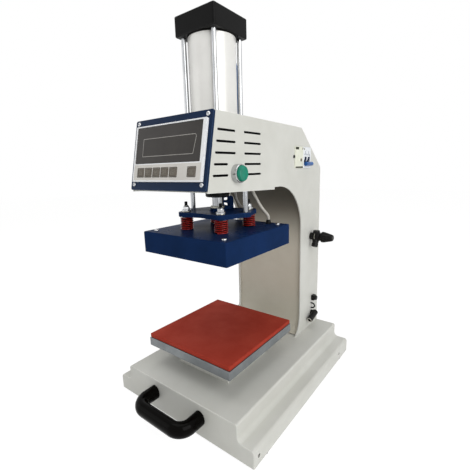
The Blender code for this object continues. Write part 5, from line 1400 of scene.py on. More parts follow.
@dataclass
class Ram:
    """What the cylinder pushes: its rod, the pressure plate, the guide rods and the springs."""

    middle: float = -42
    low: float = 360.4
    top: float = 368.4
    spring_offset: float = 41.5
    guide_offset: float = 64
    spring_radius: float = 11.5
    spring_wire: float = 0.8
    spring_low: float = 336.1
    spring_top: float = 360.1
    curls: int = 7
    rod_radius: float = 10
    guide_radius: float = 4.5
    bolt_ear: float = 14.5
    guide_ear: float = 9.5
    waist: float = 49
    rib_half: float = 3.5
    end_turns: float = 0.6
    turn_steps: int = 28

    def ear(self, x: float, y: float, radius: float, start: float, end: float) -> list[Pair]:
        """Lists the rounded end of the plate round one bolt or guide rod.

        Args:
            x: The bolt's or rod's x.
            y: Its y from the ram's middle.
            radius: The end's radius.
            start: The angle of the first point, in degrees.
            end: The angle of the last point, in degrees.

        Returns:
            The end's points.
        """
        return arc((x, self.middle + y), radius, start, end, 20)

    def pressure_plate(self) -> None:
        """Cuts the pressure plate, and welds on its hub and its slotted rib."""
        far, out = self.spring_offset, self.guide_offset
        large, small = self.bolt_ear, self.guide_ear
        outline = (
            self.ear(out, 0, small, -60, 60)
            + self.ear(far, far, large, 0, 100)
            + [(0, self.middle + self.waist)]
            + self.ear(-far, far, large, 80, 180)
            + self.ear(-out, 0, small, 120, 240)
            + self.ear(-far, -far, large, 180, 280)
            + [(0, self.middle - self.waist)]
            + self.ear(far, -far, large, 260, 360)
        )
        holes = [arc((x, self.middle + y), 3.4, 0, 345, 23) for x in (-far, far) for y in (-far, far)]
        holes += [arc((x, self.middle), 4.9, 0, 345, 23) for x in (-out, out)]
        pusher = plate("pusher_plate", outline, Across.Z, self.low, self.top, holes)
        ease(pusher, 0.9, 3, 60)
        rings = [(16.5, 366), (16.5, 368.7), (14.3, 370.5), (14.3, 372.6), (13.4, 373.4)]
        hub = turn("hub", rings, (0, self.middle, 0))
        rib = plate(
            "rib",
            rounded([(-30, 362.9, 0), (2, 362.9, 0), (2, 393.4, 8), (-30, 393.4, 0)]),
            Across.X,
            -self.rib_half,
            self.rib_half,
            [
                oblong((-27, 385.5), (-9, 391), 1.6),
                rounded([(-27, 378.25, 1.6), (-9, 373.25, 1.6), (-9, 378.5, 1.6), (-27, 383.5, 1.6)]),
            ],
        )
        ease(rib, 0.6, 2, 60)
        carve(pusher, hub, rib, operation="UNION")
        carve(pusher, turn("bore", [(10.3, 340), (10.3, 420)], (0, self.middle, 0)))
        fit(painted(pusher, NAVY_ENAMEL), "ram", "navy_paint", "pressure_plate")
        rings = [(13.2, 373.5), (13.6, 374), (13.6, 377), (13, 377.6), (10.1, 377.6), (10.1, 373.5)]
        clip = turn("hub_clamp_ring", rings, (0, self.middle, 0), pierced=True)
        fit(painted(clip, ZINC_STEEL), "ram", "steel")

    def rods(self) -> None:
        """Grinds the piston rod and the two guide rods."""
        wide = self.rod_radius
        rings = [(wide - 0.6, self.low), (wide, 361), (wide, 636.2)]
        rings += [(37.7, 636.2), (38.7, 637.2), (38.7, 660.2), (37.7, 661.2)]
        piston = turn("ram_rod", rings, (0, self.middle, 0))
        fit(painted(piston, HARD_CHROME), "ram", "chrome", "piston_rod")
        for side, x in (("left", -self.guide_offset), ("right", self.guide_offset)):
            wide = self.guide_radius
            rings = [(wide - 0.4, self.low), (wide, 360.8), (wide, 518.1), (wide - 0.6, 518.7)]
            rod = turn(f"guide_shaft_{side}", rings, (x, self.middle, 0), steps=ROUND)
            fit(painted(rod, HARD_CHROME), "ram", "chrome", f"guide_rod_{side}")

    def spring_path(self) -> list[Point]:
        """Lists the centre line of a spring with closed ends, about the origin.

        Returns:
            The points, from the lower end up.
        """
        close, around = self.end_turns, self.turn_steps
        flat = close * 2.2 * self.spring_wire
        rise = self.spring_top - self.spring_low - 2 * self.spring_wire
        path = []
        for i in range(self.curls * around + 1):
            turns = i / around
            if turns < close:
                z = flat * turns / close
            elif turns > self.curls - close:
                z = rise - flat * (self.curls - turns) / close
            else:
                z = flat + (rise - 2 * flat) * (turns - close) / (self.curls - 2 * close)
            angle, wide = 2 * math.pi * turns, self.spring_radius
            path.append((wide * math.cos(angle), wide * math.sin(angle), self.spring_wire + z))
        return path

    def springs(self) -> None:
        """Coils one spring and copies it to the four bolts."""
        pattern = painted(wire("spring", self.spring_path(), self.spring_wire, 3), SPRING_LACQUER)
        for number, (x, y) in enumerate(square(self.middle, self.spring_offset), 1):
            place = standing((x, y, self.spring_low), spin=47 * number)
            spring = placed_copy(pattern, f"coil_spring_{number}", place)
            fit(spring, "ram", "spring_red", f"spring_{number}")
            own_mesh(spring)
        bpy.data.objects.remove(pattern, do_unlink=True)

    def build(self) -> None:
        """Builds the ram."""
        self.pressure_plate()
        self.rods()
        self.springs()


@dataclass
class Cylinder:
    """The tie-rod air cylinder that stands in the head, with its hose."""

    middle: float = -42
    half: float = 44
    corner: float = 4
    front_cap: Pair = (419.7, 451.7)
    rear_cap: Pair = (661.8, 693.8)
    barrel_radius: float = 41.2
    barrel_wall: float = 2
    barrel_ends: Pair = (452.1, 661.4)
    tie_radius: float = 4.1
    tie_offset: float = 33.5
    port: Pair = (15, 679.8)
    elbow_radius: float = 6.6
    hose_radius: float = 4
    hose_stops: tuple[Point, ...] = (
        (0, 15, 663.5),
        (0, 15, 655.5),
        (3.0, 15, 640.17),
        (11.4, 14.01, 609.55),
        (14.0, 13.2, 581.85),
        (14.4, 12.81, 558.52),
        (16.8, 12.21, 539.57),
        (20, 12, 525.7),
        (20, 12, 517.7),
    )

    def cap(self, name: str, low: float, high: float) -> Piece:
        """Casts one end cap, with the seats of its tie rods.

        Args:
            name: The cap's name.
            low: The height of its underside.
            high: The height of its top.

        Returns:
            The cap.
        """
        near, far = (-self.half, self.middle - self.half), (self.half, self.middle + self.half)
        outline = oblong(near, far, self.corner, 10)
        cap = ease(plate(name, outline, Across.Z, low, high), 2.2, 4, 60)
        seats = [
            turn("seat", [(7.4, high - 6), (7.4, high + 6)], (x, self.middle + y, 0), steps=ROUND)
            for x in (-self.tie_offset, self.tie_offset)
            for y in (-self.tie_offset, self.tie_offset)
        ]
        return carve(cap, *seats)

    def caps(self) -> None:
        """Casts both caps, and turns the neck that guides the rod."""
        centre = (0, self.middle, 0)
        front = self.cap("cylinder_foot_cap", *self.front_cap)
        carve(front, turn("neck", [(20.5, 394.4), (22, 396), (22, 440)], centre), operation="UNION")
        carve(front, turn("rod_bore", [(10.25, 380), (10.25, 470)], centre))
        fit(painted(front, CAST_BLACK), "frame", "black_plastic", "cylinder_front_cap")
        rings = [(10.3, 393.4), (13.2, 393.4), (14, 394.3), (14, 396), (10.3, 396)]
        seal = turn("rod_wiper", rings, centre, pierced=True)
        fit(painted(seal, RUBBER), "frame", "rubber")
        rear = self.cap("cylinder_head_cap", *self.rear_cap)
        fit(painted(rear, CAST_BLACK), "frame", "black_plastic", "cylinder_rear_cap")

    def barrel(self) -> None:
        """Draws the barrel, and fits the tie rods with their socket screws."""
        centre = (0, self.middle, 0)
        outer, inner = self.barrel_radius, self.barrel_radius - self.barrel_wall
        low, high = self.barrel_ends
        rings = [(outer, low), (outer, high), (inner, high), (inner, low)]
        tube = turn("drawn_barrel", rings, centre, steps=LARGE, pierced=True)
        fit(painted(tube, DRAWN_TUBE), "frame", "anodised_tube", "cylinder_barrel")
        for name, z in (("foot", 452.4), ("head", 661.0)):
            rings = [(41.3, z - 0.8), (42.1, z - 0.8), (42.1, z + 0.8), (41.3, z + 0.8)]
            ring = turn(f"barrel_{name}_seal", rings, centre, steps=LARGE, pierced=True)
            fit(painted(ring, RUBBER), "frame", "rubber")
        pattern = fastener(Head.DOME, 6.4, 5)
        wide, thin = self.tie_radius, self.tie_radius - 0.5
        rings = [(thin, 419.7), (thin, 451.7), (wide, 452), (wide, 661.5), (thin, 661.8), (thin, 688)]
        for number, (x, y) in enumerate(square(self.middle, self.tie_offset), 1):
            rod = turn("rod", rings, (x, y, 0), steps=ROUND)
            screw = placed_copy(pattern, "head", standing((x, y, 687.8), spin=11 * number))
            made = join(f"tie_bar_{number}", [painted(rod, BRIGHT_STEEL), painted(screw, BLACK_STEEL)])
            fit(made, "frame", "chrome", f"tie_rod_{number}")
        bpy.data.objects.remove(pattern, do_unlink=True)

    def air_line(self) -> None:
        """Fits the elbow in the rear cap, and runs the hose down into the head."""
        y, z = self.port
        wide = self.elbow_radius
        shank = turn("shank", [(7.5, 2.3), (7.5, 6), (wide, 6.4), (wide, 12)], (0, 0, z), (0, 1, 0), ROUND)
        deselect()
        bpy.ops.mesh.primitive_uv_sphere_add(
            segments=32, ring_count=16, radius=(wide + 0.1) * MM, location=(0, y * MM, z * MM)
        )
        knuckle = settle(bpy.context.object, "knuckle")
        drop = turn("drop", [(6.2, 663.9), (wide, 664.6), (wide, z)], (0, y, 0), steps=ROUND)
        carve(shank, knuckle, drop, operation="UNION")
        shank.name = "port_elbow"
        fit(painted(shank, MOULDED_NYLON), "frame", "black_plastic")
        rings = [(4.2, 662.4), (5.2, 662.4), (5.6, 662.9), (5.6, 663.9), (4.2, 663.9)]
        collet = turn("port_collet", rings, (0, y, 0), steps=ROUND, pierced=True)
        fit(painted(collet, BLUE_LEVER), "frame", "black_plastic")
        route = smooth_route(self.hose_stops, 8)
        hose = wire("air_hose_run", route, self.hose_radius, 5)
        fit(painted(hose, POLYURETHANE_TUBE), "frame", "hose_blue", "air_hose")

    def build(self) -> None:
        """Builds the cylinder."""
        self.caps()
        self.barrel()
        self.air_line()


class Panel:
    """The frame of the sloped control panel, from its foot: X across, Y up its slope, Z out of its face."""

    TILT = math.radians(11.8)
    FOOT = (-167.5, 413.7)

    @classmethod
    def point(cls, height: float, depth: float) -> Pair:
        """Gives a place on the panel's middle plane.

        Args:
            height: How far it is up the slope.
            depth: How far it is behind the face.

        Returns:
            Its y and z.
        """
        rise, lean = math.cos(cls.TILT), math.sin(cls.TILT)
        return (cls.FOOT[0] + height * lean + depth * rise, cls.FOOT[1] + height * rise - depth * lean)

    @classmethod
    def lean(cls, piece: Piece) -> Piece:
        """Leans a piece that was made flat on the origin back onto the panel.

        Args:
            piece: The piece.

        Returns:
            The piece.
        """
        place = Matrix.Translation(Vector((0, *cls.FOOT)) * MM)
        piece.data.transform(place @ Matrix.Rotation(math.pi / 2 - cls.TILT, 4, "X"))
        return piece


@dataclass
class HeadAndColumn:
    """The sheet-metal column and head: two side plates, the covers between them, and the guides' tubes."""

    half: float = 86.5
    inner: float = 84
    sheet_half: float = 83.7
    base_top: float = 64.5
    column_front: float = 132
    column_rear: float = 227
    arch_centre: Pair = (38, 315.2)
    arch_radius: float = 94
    flare: Pair = (28, 50)
    landing: float = 20
    arch_top: float = 409.2
    skirt: float = 404.9
    top_front: Pair = (-139.6, 526.17)
    top_rear: Pair = (128.4, 522.67)
    chamfer_foot: float = 442.67
    slot_rows: int = 5
    slot_top: float = 499.17
    slot_pitch: float = 16.4
    slot_height: float = 3.6
    slot_ends: tuple[float, ...] = (-95.5, -95.5, -95.5, -115.5, -115.5)
    rear_slots: Pair = (-73.5, -25)
    breaker_hole: tuple[Pair, Pair] = ((97.95, 441.67), (170.05, 485.27))
    side_screw: Pair = (95.3, 464.8)
    shade_sheet_faces: Pair = (82.8, 83.4)
    shade_strip_depth: float = 2.1
    fold: float = 16
    chamfer_fold: float = 8
    well: tuple[Pair, Pair] = ((-46, -88), (46, 4))
    hose_way: Pair = (20, 12)
    guide_columns: Pair = (-64, 64)
    guide_row: float = -42

    def throat(self, recess: float, lift: float) -> list[Pair]:
        """Lists the edge of the throat, from its foot round the arch.

        Args:
            recess: How far the edge is set back.
            lift: How far above the base its foot is.

        Returns:
            The edge's (y, z) points.
        """
        wide, high = self.flare[0] + recess, self.flare[1] + recess
        centre = (self.column_front - self.flare[0], self.base_top + self.flare[1])
        foot = -math.degrees(math.asin((self.flare[1] - lift) / high))
        arch = arc(self.arch_centre, self.arch_radius + recess, 0, 90, 40)
        return arc(centre, (wide, high), foot, 0, 16) + arch

    def slots(self) -> list[list[Pair]]:
        """Lists the outlines of the cooling slots.

        Returns:
            The outlines, front slot and rear slot by row, from the top row down.
        """
        found = []
        for row in range(self.slot_rows):
            z = self.slot_top - row * self.slot_pitch
            height = (z - Panel.FOOT[1]) / math.cos(Panel.TILT)
            start = Panel.point(height, 4)[0] + 8
            for low, high in ((start, self.slot_ends[row]), self.rear_slots):
                found.append(oblong((low, z - 0.6), (high, z - 0.6 + self.slot_height), 1.7, 4))
        return found

    def outline(self) -> list[Pair]:
        """Lists the outline of a side plate.

        Returns:
            The outline's (y, z) points.
        """
        back = rounded(
            [
                (self.column_rear, self.base_top + 0.3, 0),
                (self.column_rear, self.chamfer_foot, self.chamfer_fold),
                (*self.top_rear, self.fold),
                (*self.top_front, 0),
            ],
            closed=False,
        )
        step = [(self.landing, self.arch_top), (self.landing, self.skirt)]
        return self.throat(0, 0.3) + step + [Panel.point(-2.3, 4.3)] + back[::-1]

    def side_plates(self) -> None:
        """Cuts the side plates, with the right one's holes for what is fitted to it."""
        holes = [
            arc(START_BUTTON_AT, 11.3, 0, 350, 35),
            oblong(*self.breaker_hole, 0.5, 2),
            arc(REGULATOR_AT, 6.8, 0, 345, 23),
            arc(INLET_AT, 4.5, 0, 345, 23),
            arc(FUSE_AT, 5.3, 0, 345, 23),
        ]
        for side, low, high, found in (
            ("right", self.inner, self.half, self.slots() + holes),
            ("left", -self.half, -self.inner, self.slots()),
        ):
            wall = plate(f"side_wall_{side}", self.outline(), Across.X, low, high, found)
            ease(wall, 0.45, 2, 60)
            fit(painted(wall, POWDER_COAT), "frame", "painted_steel", f"side_plate_{side}")
            out = 1 if side == "right" else -1
            seat = (out * self.half, *self.side_screw)
            screw = fasteners(f"side_screw_{side}", Head.PAN, 3.2, 2.2, [seat], (out, 0, 0))
            fit(painted(screw, BLACK_STEEL), "frame", "steel")

    def shade_sheets(self) -> None:
        """Lines the head's sides with a black sheet of painted shade, with a black strip of painted shade in
        each slot.
        """
        edge = [(-146, 421), (-60, 421), (-60, 414), (-10, 414), (-10, 514), (-126, 514)]
        near, far = self.shade_sheet_faces
        for side, low, high in (("right", near, far), ("left", -far, -near)):
            holes = [arc(START_BUTTON_AT, 12, 0, 345, 23)] if side == "right" else []
            shade_sheet = plate(f"head_shade_sheet_{side}", edge, Across.X, low, high, holes)
            start = high if side == "right" else low - self.shade_strip_depth
            end = start + self.shade_strip_depth
            strips = [plate("strip", slot, Across.X, start, end) for slot in self.slots()]
            slot_shade = join(f"head_slot_shade_{side}", [shade_sheet, *strips])
            fit(painted(slot_shade, BLACK_SHADE_SHEET), "frame", "black_plastic")

    def column_front_sheet(self) -> None:
        """Rolls the sheet that closes the column's front and runs round the arch."""
        outer = self.throat(5, 1.8) + [(20.3, 414.2)]
        inner = self.throat(6.5, 1.8) + [(20.3, 415.7)]
        sheet = plate("column_face", outer + inner[::-1], Across.X, -self.sheet_half, self.sheet_half)
        fit(painted(sheet, COLUMN_COAT), "frame", "painted_steel", "column_front_panel")

    def rear_sheet(self) -> None:
        """Folds the sheet over the head's top and down its back, and screws it on."""
        foot = self.base_top + 0.3
        outer = [
            (-139.3, 526.17, 0),
            (*self.top_rear, self.fold),
            (self.column_rear, self.chamfer_foot, self.chamfer_fold),
            (self.column_rear, foot, 0),
        ]
        inner = [(-139.3, 524.67, 0), (127.87, 521.17, 14.5), (225.5, 441.94, 6.5), (225.5, foot, 0)]
        section = rounded(outer, closed=False) + rounded(inner, closed=False)[::-1]
        sheet = plate("back_cover", section, Across.X, -self.sheet_half, self.sheet_half)
        (left, front), (right, rear) = self.well
        well = block("well", (left, front, 480), (right, rear, 560))
        hose_way = turn("way", [(4.4, 480), (4.4, 560)], (*self.hose_way, 0), steps=ROUND)
        carve(sheet, well, hose_way)
        fit(painted(sheet, POWDER_COAT), "frame", "painted_steel", "rear_cover")
        around = oblong((left - 0.6, front - 0.6), (right + 0.6, rear + 0.6), 2)
        within = oblong((left + 1.4, front + 1.4), (right - 1.4, rear - 1.4), 2)
        collar = plate("well_trim", around, Across.Z, 521.6, 527.4, [within])
        fit(painted(ease(collar, 0.4, 2, 60), RUBBER), "frame", "rubber")
        seats = [(side * 75, self.column_rear, z) for side in (-1, 1) for z in (84, 200, 316, 426)]
        screws = fasteners("back_screws", Head.PAN, 3.4, 1, seats, (0, 1, 0))
        fit(painted(screws, ZINC_STEEL), "frame", "steel")

    def guides(self) -> None:
        """Draws the tubes that the guide rods slide in."""
        rings = [(6.75, 411.7), (6.75, 516.2), (6.3, 516.7), (4.9, 516.7), (4.9, 411.7)]
        for side, x in zip(("left", "right"), self.guide_columns):
            sleeve = turn(f"guide_tube_{side}", rings, (x, self.guide_row, 0), steps=ROUND, pierced=True)
            fit(painted(sleeve, BRIGHT_STEEL), "guide_sleeves", "steel", f"guide_sleeve_{side}")

    def build(self) -> None:
        """Builds the head and column."""
        self.side_plates()
        self.shade_sheets()
        self.column_front_sheet()
        self.rear_sheet()
        self.guides()


@dataclass
class ControlPanel:
    """The sloped panel: an enamelled bezel, a membrane keypad, six keys and a display window."""

    half: float = 86.5
    height: float = 115.8
    face_half: float = 79.5
    face_low: float = 13
    face_high: float = 104.3
    proud: float = 3.8
    window: tuple[float, float, float, float] = (-75.9, 42.6, 72.4, 101.7)
    window_face: float = 3.3
    strip_top: float = 40.6
    display: tuple[float, float, float, float] = (-58.7, 53.6, 61.8, 83)
    key_row: float = 27.8
    key_half: Pair = (7.34, 6.35)
    key_columns: tuple[float, ...] = (-58.457, -38.97, -19.49, 0, 19.49, 58.457)
    tray: tuple[Pair, Pair] = ((-79.2, 13.3), (79.2, 104))
    tray_room: tuple[Pair, Pair] = ((-77.2, 15.3), (77.2, 102))
    strip_foot: Pair = (-76.4, 15.6)
    key_face: float = 4.8
    screw_columns: float = 77.8
    screw_rows: Pair = (9.1, 109.5)

    def bezel(self) -> None:
        """Presses the bezel and screws it to the head."""
        window = oblong((-self.face_half, self.face_low), (self.face_half, self.face_high), 1)
        outline = oblong((-self.half, 0), (self.half, self.height), 3)
        bezel = plate("panel_bezel", outline, Across.Z, -4, 0, [window])
        ease(bezel, 0.9, 3, 60)
        fit(painted(Panel.lean(bezel), BEZEL_ENAMEL), "frame", "navy_paint", "control_bezel")
        seats = [(side * self.screw_columns, row, 0) for side in (-1, 1) for row in self.screw_rows]
        screws = fasteners("bezel_screws", Head.DOME, 3.5, 2.4, seats)
        fit(painted(Panel.lean(screws), BRIGHT_STEEL), "frame", "steel")

    def openings(self, clearance: float) -> list[list[Pair]]:
        """Lists the outlines of the six key openings.

        Args:
            clearance: How far each opening is from its key.

        Returns:
            The outlines, from the left key to the right one.
        """
        wide, high = (half + clearance for half in self.key_half)
        row = self.key_row
        return [oblong((x - wide, row - high), (x + wide, row + high), 1.2) for x in self.key_columns]

    def keypad(self) -> None:
        """Moulds the keypad's tray and lays its printed films on it."""
        out, outline = self.proud, oblong(*self.tray, 1.2)
        left, bottom, right, top = self.window
        well = oblong((left - 0.3, bottom - 0.3), (right + 0.3, top + 0.3), 1.2)
        face = plate("face", outline, Across.Z, out - 2, out, [well, *self.openings(0.3)])
        ease(face, 0.3, 2, 60)
        skirt = plate("skirt", outline, Across.Z, -6.2, out - 1.9, [oblong(*self.tray_room, 1)])
        tray = join("keypad_tray", [face, skirt])
        fit(painted(Panel.lean(tray), MEMBRANE_WHITE), "frame", "panel_white", "keypad_panel")
        film = oblong(self.strip_foot, (-self.strip_foot[0], self.strip_top), 1)
        strip = plate("key_strip_film", film, Across.Z, out + 0.02, out + 0.17, self.openings(0.3))
        fit(painted(Panel.lean(strip), MEMBRANE_BEIGE), "frame", "panel_white")
        rims = [
            plate("rim", outer, Across.Z, out + 0.04, out + 0.3, [inner])
            for outer, inner in zip(self.openings(1.5), self.openings(0.5))
        ]
        rim = join("key_rims", rims)
        fit(painted(Panel.lean(rim), KEY_FRAME), "frame", "panel_white")

    def show(self) -> None:
        """Polishes the smoked window, and lays the display's outline and cell on its face."""
        left, bottom, right, top = self.window
        face = self.window_face
        pane = block("smoked_window", (left, bottom, face - 3), (right, top, face), 0.5, 3)
        fit(painted(Panel.lean(pane), SMOKED_ACRYLIC), "frame", "dark_window", "display_window")
        low_x, low_y, high_x, high_y = self.display
        shape = [
            (low_x, low_y, 1.5),
            (high_x - 4, low_y, 1.5),
            (high_x, high_y - 3, 2),
            (high_x - 3, high_y, 2),
            (low_x, high_y, 1.5),
        ]
        inset = 0.95
        hole = [
            (low_x + inset, low_y + inset, 0.8),
            (high_x - 4 - inset, low_y + inset, 0.8),
            (high_x - inset, high_y - 3, 1.2),
            (high_x - 3, high_y - inset, 1.2),
            (low_x + inset, high_y - inset, 0.8),
        ]
        line = plate("display_outline", rounded(shape), Across.Z, face + 0.02, face + 0.1, [rounded(hole)])
        fit(painted(Panel.lean(line), DISPLAY_GREY), "frame", "key_grey")
        glass = plate("display_glass", rounded(hole), Across.Z, face + 0.02, face + 0.06)
        fit(painted(Panel.lean(glass), DISPLAY_CELL), "frame", "dark_window")

    def keys(self) -> None:
        """Moulds one key with its printed frame and copies it to the six places."""
        wide, high = self.key_half
        top, ink = self.key_face, self.key_face - 0.01
        cap = block("cap", (-wide, -high, 1), (wide, high, top), 0.9, 4)
        outer, inner, middle = (
            oblong((inset - wide, inset - high), (wide - inset, high - inset), radius)
            for inset, radius in ((1, 0.8), (1.6, 0.6), (2.6, 0.8))
        )
        rim = plate("frame", outer, Across.Z, ink, top + 0.06, [inner])
        mark = plate("mark", middle, Across.Z, ink, top + 0.05)
        dressed = [painted(cap, KEY_CAP), painted(rim, KEY_FRAME), painted(mark, KEY_MARK)]
        pattern = join("key", dressed)
        numbers = ("one", "two", "three", "four", "five", "six")
        for i, (number, x) in enumerate(zip(numbers, self.key_columns), 1):
            place = Matrix.Translation(Vector((x, self.key_row, 0)) * MM)
            key = placed_copy(pattern, f"key_cap_{number}", place)
            fit(Panel.lean(key), f"key_{number}", "key_grey", f"key_{i}")
        bpy.data.objects.remove(pattern, do_unlink=True)

    def build(self) -> None:
        """Builds the control panel."""
        self.bezel()
        self.keypad()
        self.show()
        self.keys()


@dataclass
class StartButton:
    """The green push button and its chromed ring on the right of the head."""

    place: Pair = START_BUTTON_AT
    face: float = 86.5
    ring_rings: tuple[Pair, ...] = (
        (11, -28), (11, 0.3), (14.5, 0.3), (14.5, 8.4), (14.2, 9.6), (13.6, 10.3), (13.1, 10.4), (12.9, 9.9),
        (12.9, 1.2), (7.3, 1.2), (7.3, -28),
    )
    cap_rings: tuple[Pair, ...] = (
        (7, -24.2), (7, 5), (12.4, 5), (12.4, 12), (12.1, 13.3), (11.4, 14.5), (10.7, 15), (9.8, 14.8),
        (5, 14.3), (2, 14.2),
    )

    def build(self) -> None:
        """Casts the ring and moulds the cap."""
        centre = (self.face, *self.place)
        ring = turn("button_ring", self.ring_rings, centre, (1, 0, 0), pierced=True)
        fit(painted(ring, CHROMED_RING), "frame", "chrome", "start_button_bezel")
        cap = turn("button_cap", self.cap_rings, centre, (1, 0, 0))
        fit(painted(cap, GREEN_CAP), "start_button", "button_green", "start_button_cap")


@dataclass
class Breaker:
    """The two-module breaker in the right side plate."""

    front: float = 98.25
    split: float = 134
    rear: float = 169.75
    low: float = 441.97
    high: float = 484.97
    face: float = 88.5
    back: float = 83.7
    pivot: tuple[float, float, float] = (77.5, 151.16, 463.47)
    prong_places: Pair = (-7.6, 7.6)
    prong_half: float = 1.7
    track_half: float = 2.1
    gap_half: float = 0.15
    test_at: Pair = (123.63, 458.47)
    throw: float = 40
    bar_reach: float = 20.2
    drum_rings: tuple[Pair, ...] = ((9.8, -13.9), (10.4, -13.3), (10.4, 13.3), (9.8, 13.9))
    bar_rings: tuple[Pair, ...] = (
        (2.6, -15.5), (3.8, -14.9), (4.3, -13.8), (4.3, 13.8), (3.8, 14.9), (2.6, 15.5)
    )

    def case(self) -> None:
        """Moulds the two modules and the body behind the plate."""
        back, face, split = self.back, self.face, self.split
        front, low, high = self.front, self.low, self.high
        ivory = block("ivory", (back - 4, front, low), (face, split - self.gap_half, high), 0.9, 3)
        recesses = (
            (front + 1.2, front + 16, high - 6, high - 1.2),
            (front + 1, split - 1, low + 0.6, low + 3.4),
        )
        # Dark plates of painted shade lie at the bottoms of the recesses.
        shaded_wells = [block("recess", (face - 1.2, a, c), (face - 0.3, b, d)) for a, b, c, d in recesses]
        pits = [block("pit", (face - 1, a, c), (face + 4, b, d)) for a, b, c, d in recesses]
        pits.append(turn("pit", [(3.4, -3), (3.4, 3)], (face, *self.test_at), (1, 0, 0), ROUND))
        carve(ivory, *pits)
        white = block("white", (back - 4, split + self.gap_half, low), (face, self.rear, high), 0.9, 3)
        x, y, z = self.pivot
        pocket = turn("pocket", [(10.9, -14.4), (10.9, 14.4)], self.pivot, (0, 1, 0))
        window = block("window", (x, y - 14.2, z - 11), (face + 5, y + 14.2, z + 7.2), 0.6, 2)
        spans = [(side - self.track_half, side + self.track_half) for side in self.prong_places]
        tracks = [turn("track", [(13.5, near), (13.5, far)], self.pivot, (0, 1, 0)) for near, far in spans]
        foot, top = z - 15.5, z + 13.2
        tracks += [block("track", (x, y + near, foot), (face + 5, y + far, top)) for near, far in spans]
        carve(white, pocket, window, *tracks)
        body = block("body", (27.7, front - 1, low - 1), (back, self.rear + 1, high + 1), 1, 2)
        carve(body, block("room", (face - 19.4, y - 15, z - 16), (back + 5, y + 15, z + 16)))
        well = block("well", (face - 19.3, y - 14.4, z - 15.4), (face - 18.6, y + 14.4, z + 15.4))
        dressed = [
            painted(ivory, BREAKER_IVORY),
            painted(white, BREAKER_WHITE),
            painted(body, BREAKER_WHITE),
            painted(well, BREAKER_WHITE),
            *[painted(recess, RECESS_SHADE) for recess in shaded_wells],
        ]
        fit(join("breaker_case", dressed), "frame", "breaker_cream", "breaker_body")

    def trims(self) -> None:
        """Fits the terminal screws."""
        places = ((self.split + 4.5, self.high - 4.2), (self.front + 31.6, self.high - 4))
        seats = [(self.face - 0.1, *place) for place in places]
        screws = fasteners("breaker_screws", Head.PAN, 2.4, 0.9, seats, (1, 0, 0))
        fit(painted(screws, ZINC_STEEL), "frame", "steel")

    def moving(self) -> None:
        """Moulds the blue lever and the small test button."""
        thrown = Matrix.Rotation(math.radians(self.throw), 4, "Y")
        drum = turn("drum", self.drum_rings, axis=(0, 1, 0))
        carve(drum, block("back", (-20, -20, -20), (-1, 20, 20)))
        core = turn("core", [(7.4, -13.9), (7.4, 13.9)], axis=(0, 1, 0), steps=ROUND)
        carve(drum, core, operation="UNION")
        bar = turn("bar", self.bar_rings, (self.bar_reach, 0, 0), (0, 1, 0), ROUND)
        horn = arc((0, 0), 13, 4, 46, 10) + arc((0, 0), 9.8, 50, -12, 10) + [(18, -3), (18, 2.6)]
        prongs = [
            ease(plate("prong", horn, Across.Y, side - self.prong_half, side + self.prong_half), 0.4, 2, 50)
            for side in self.prong_places
        ]
        dressed = [
            painted(bar, BLUE_LEVER),
            painted(drum, BREAKER_WHITE),
            *[painted(prong, NAVY_PRONG) for prong in prongs],
        ]
        toggle = join("breaker_toggle", dressed)
        toggle.data.transform(Matrix.Translation(Vector(self.pivot) * MM) @ thrown)
        fit(toggle, "lever", "lever_blue", "breaker_lever")
        rings = [(2.8, -5.8), (2.8, 1.0), (2.5, 1.2), (1, 1.2)]
        button = turn("test_knob", rings, (self.face, *self.test_at), (1, 0, 0), ROUND)
        fit(painted(button, KEY_CAP), "test_button", "key_grey", "breaker_test_button")

    def build(self) -> None:
        """Builds the breaker."""
        self.case()
        self.trims()
        self.moving()


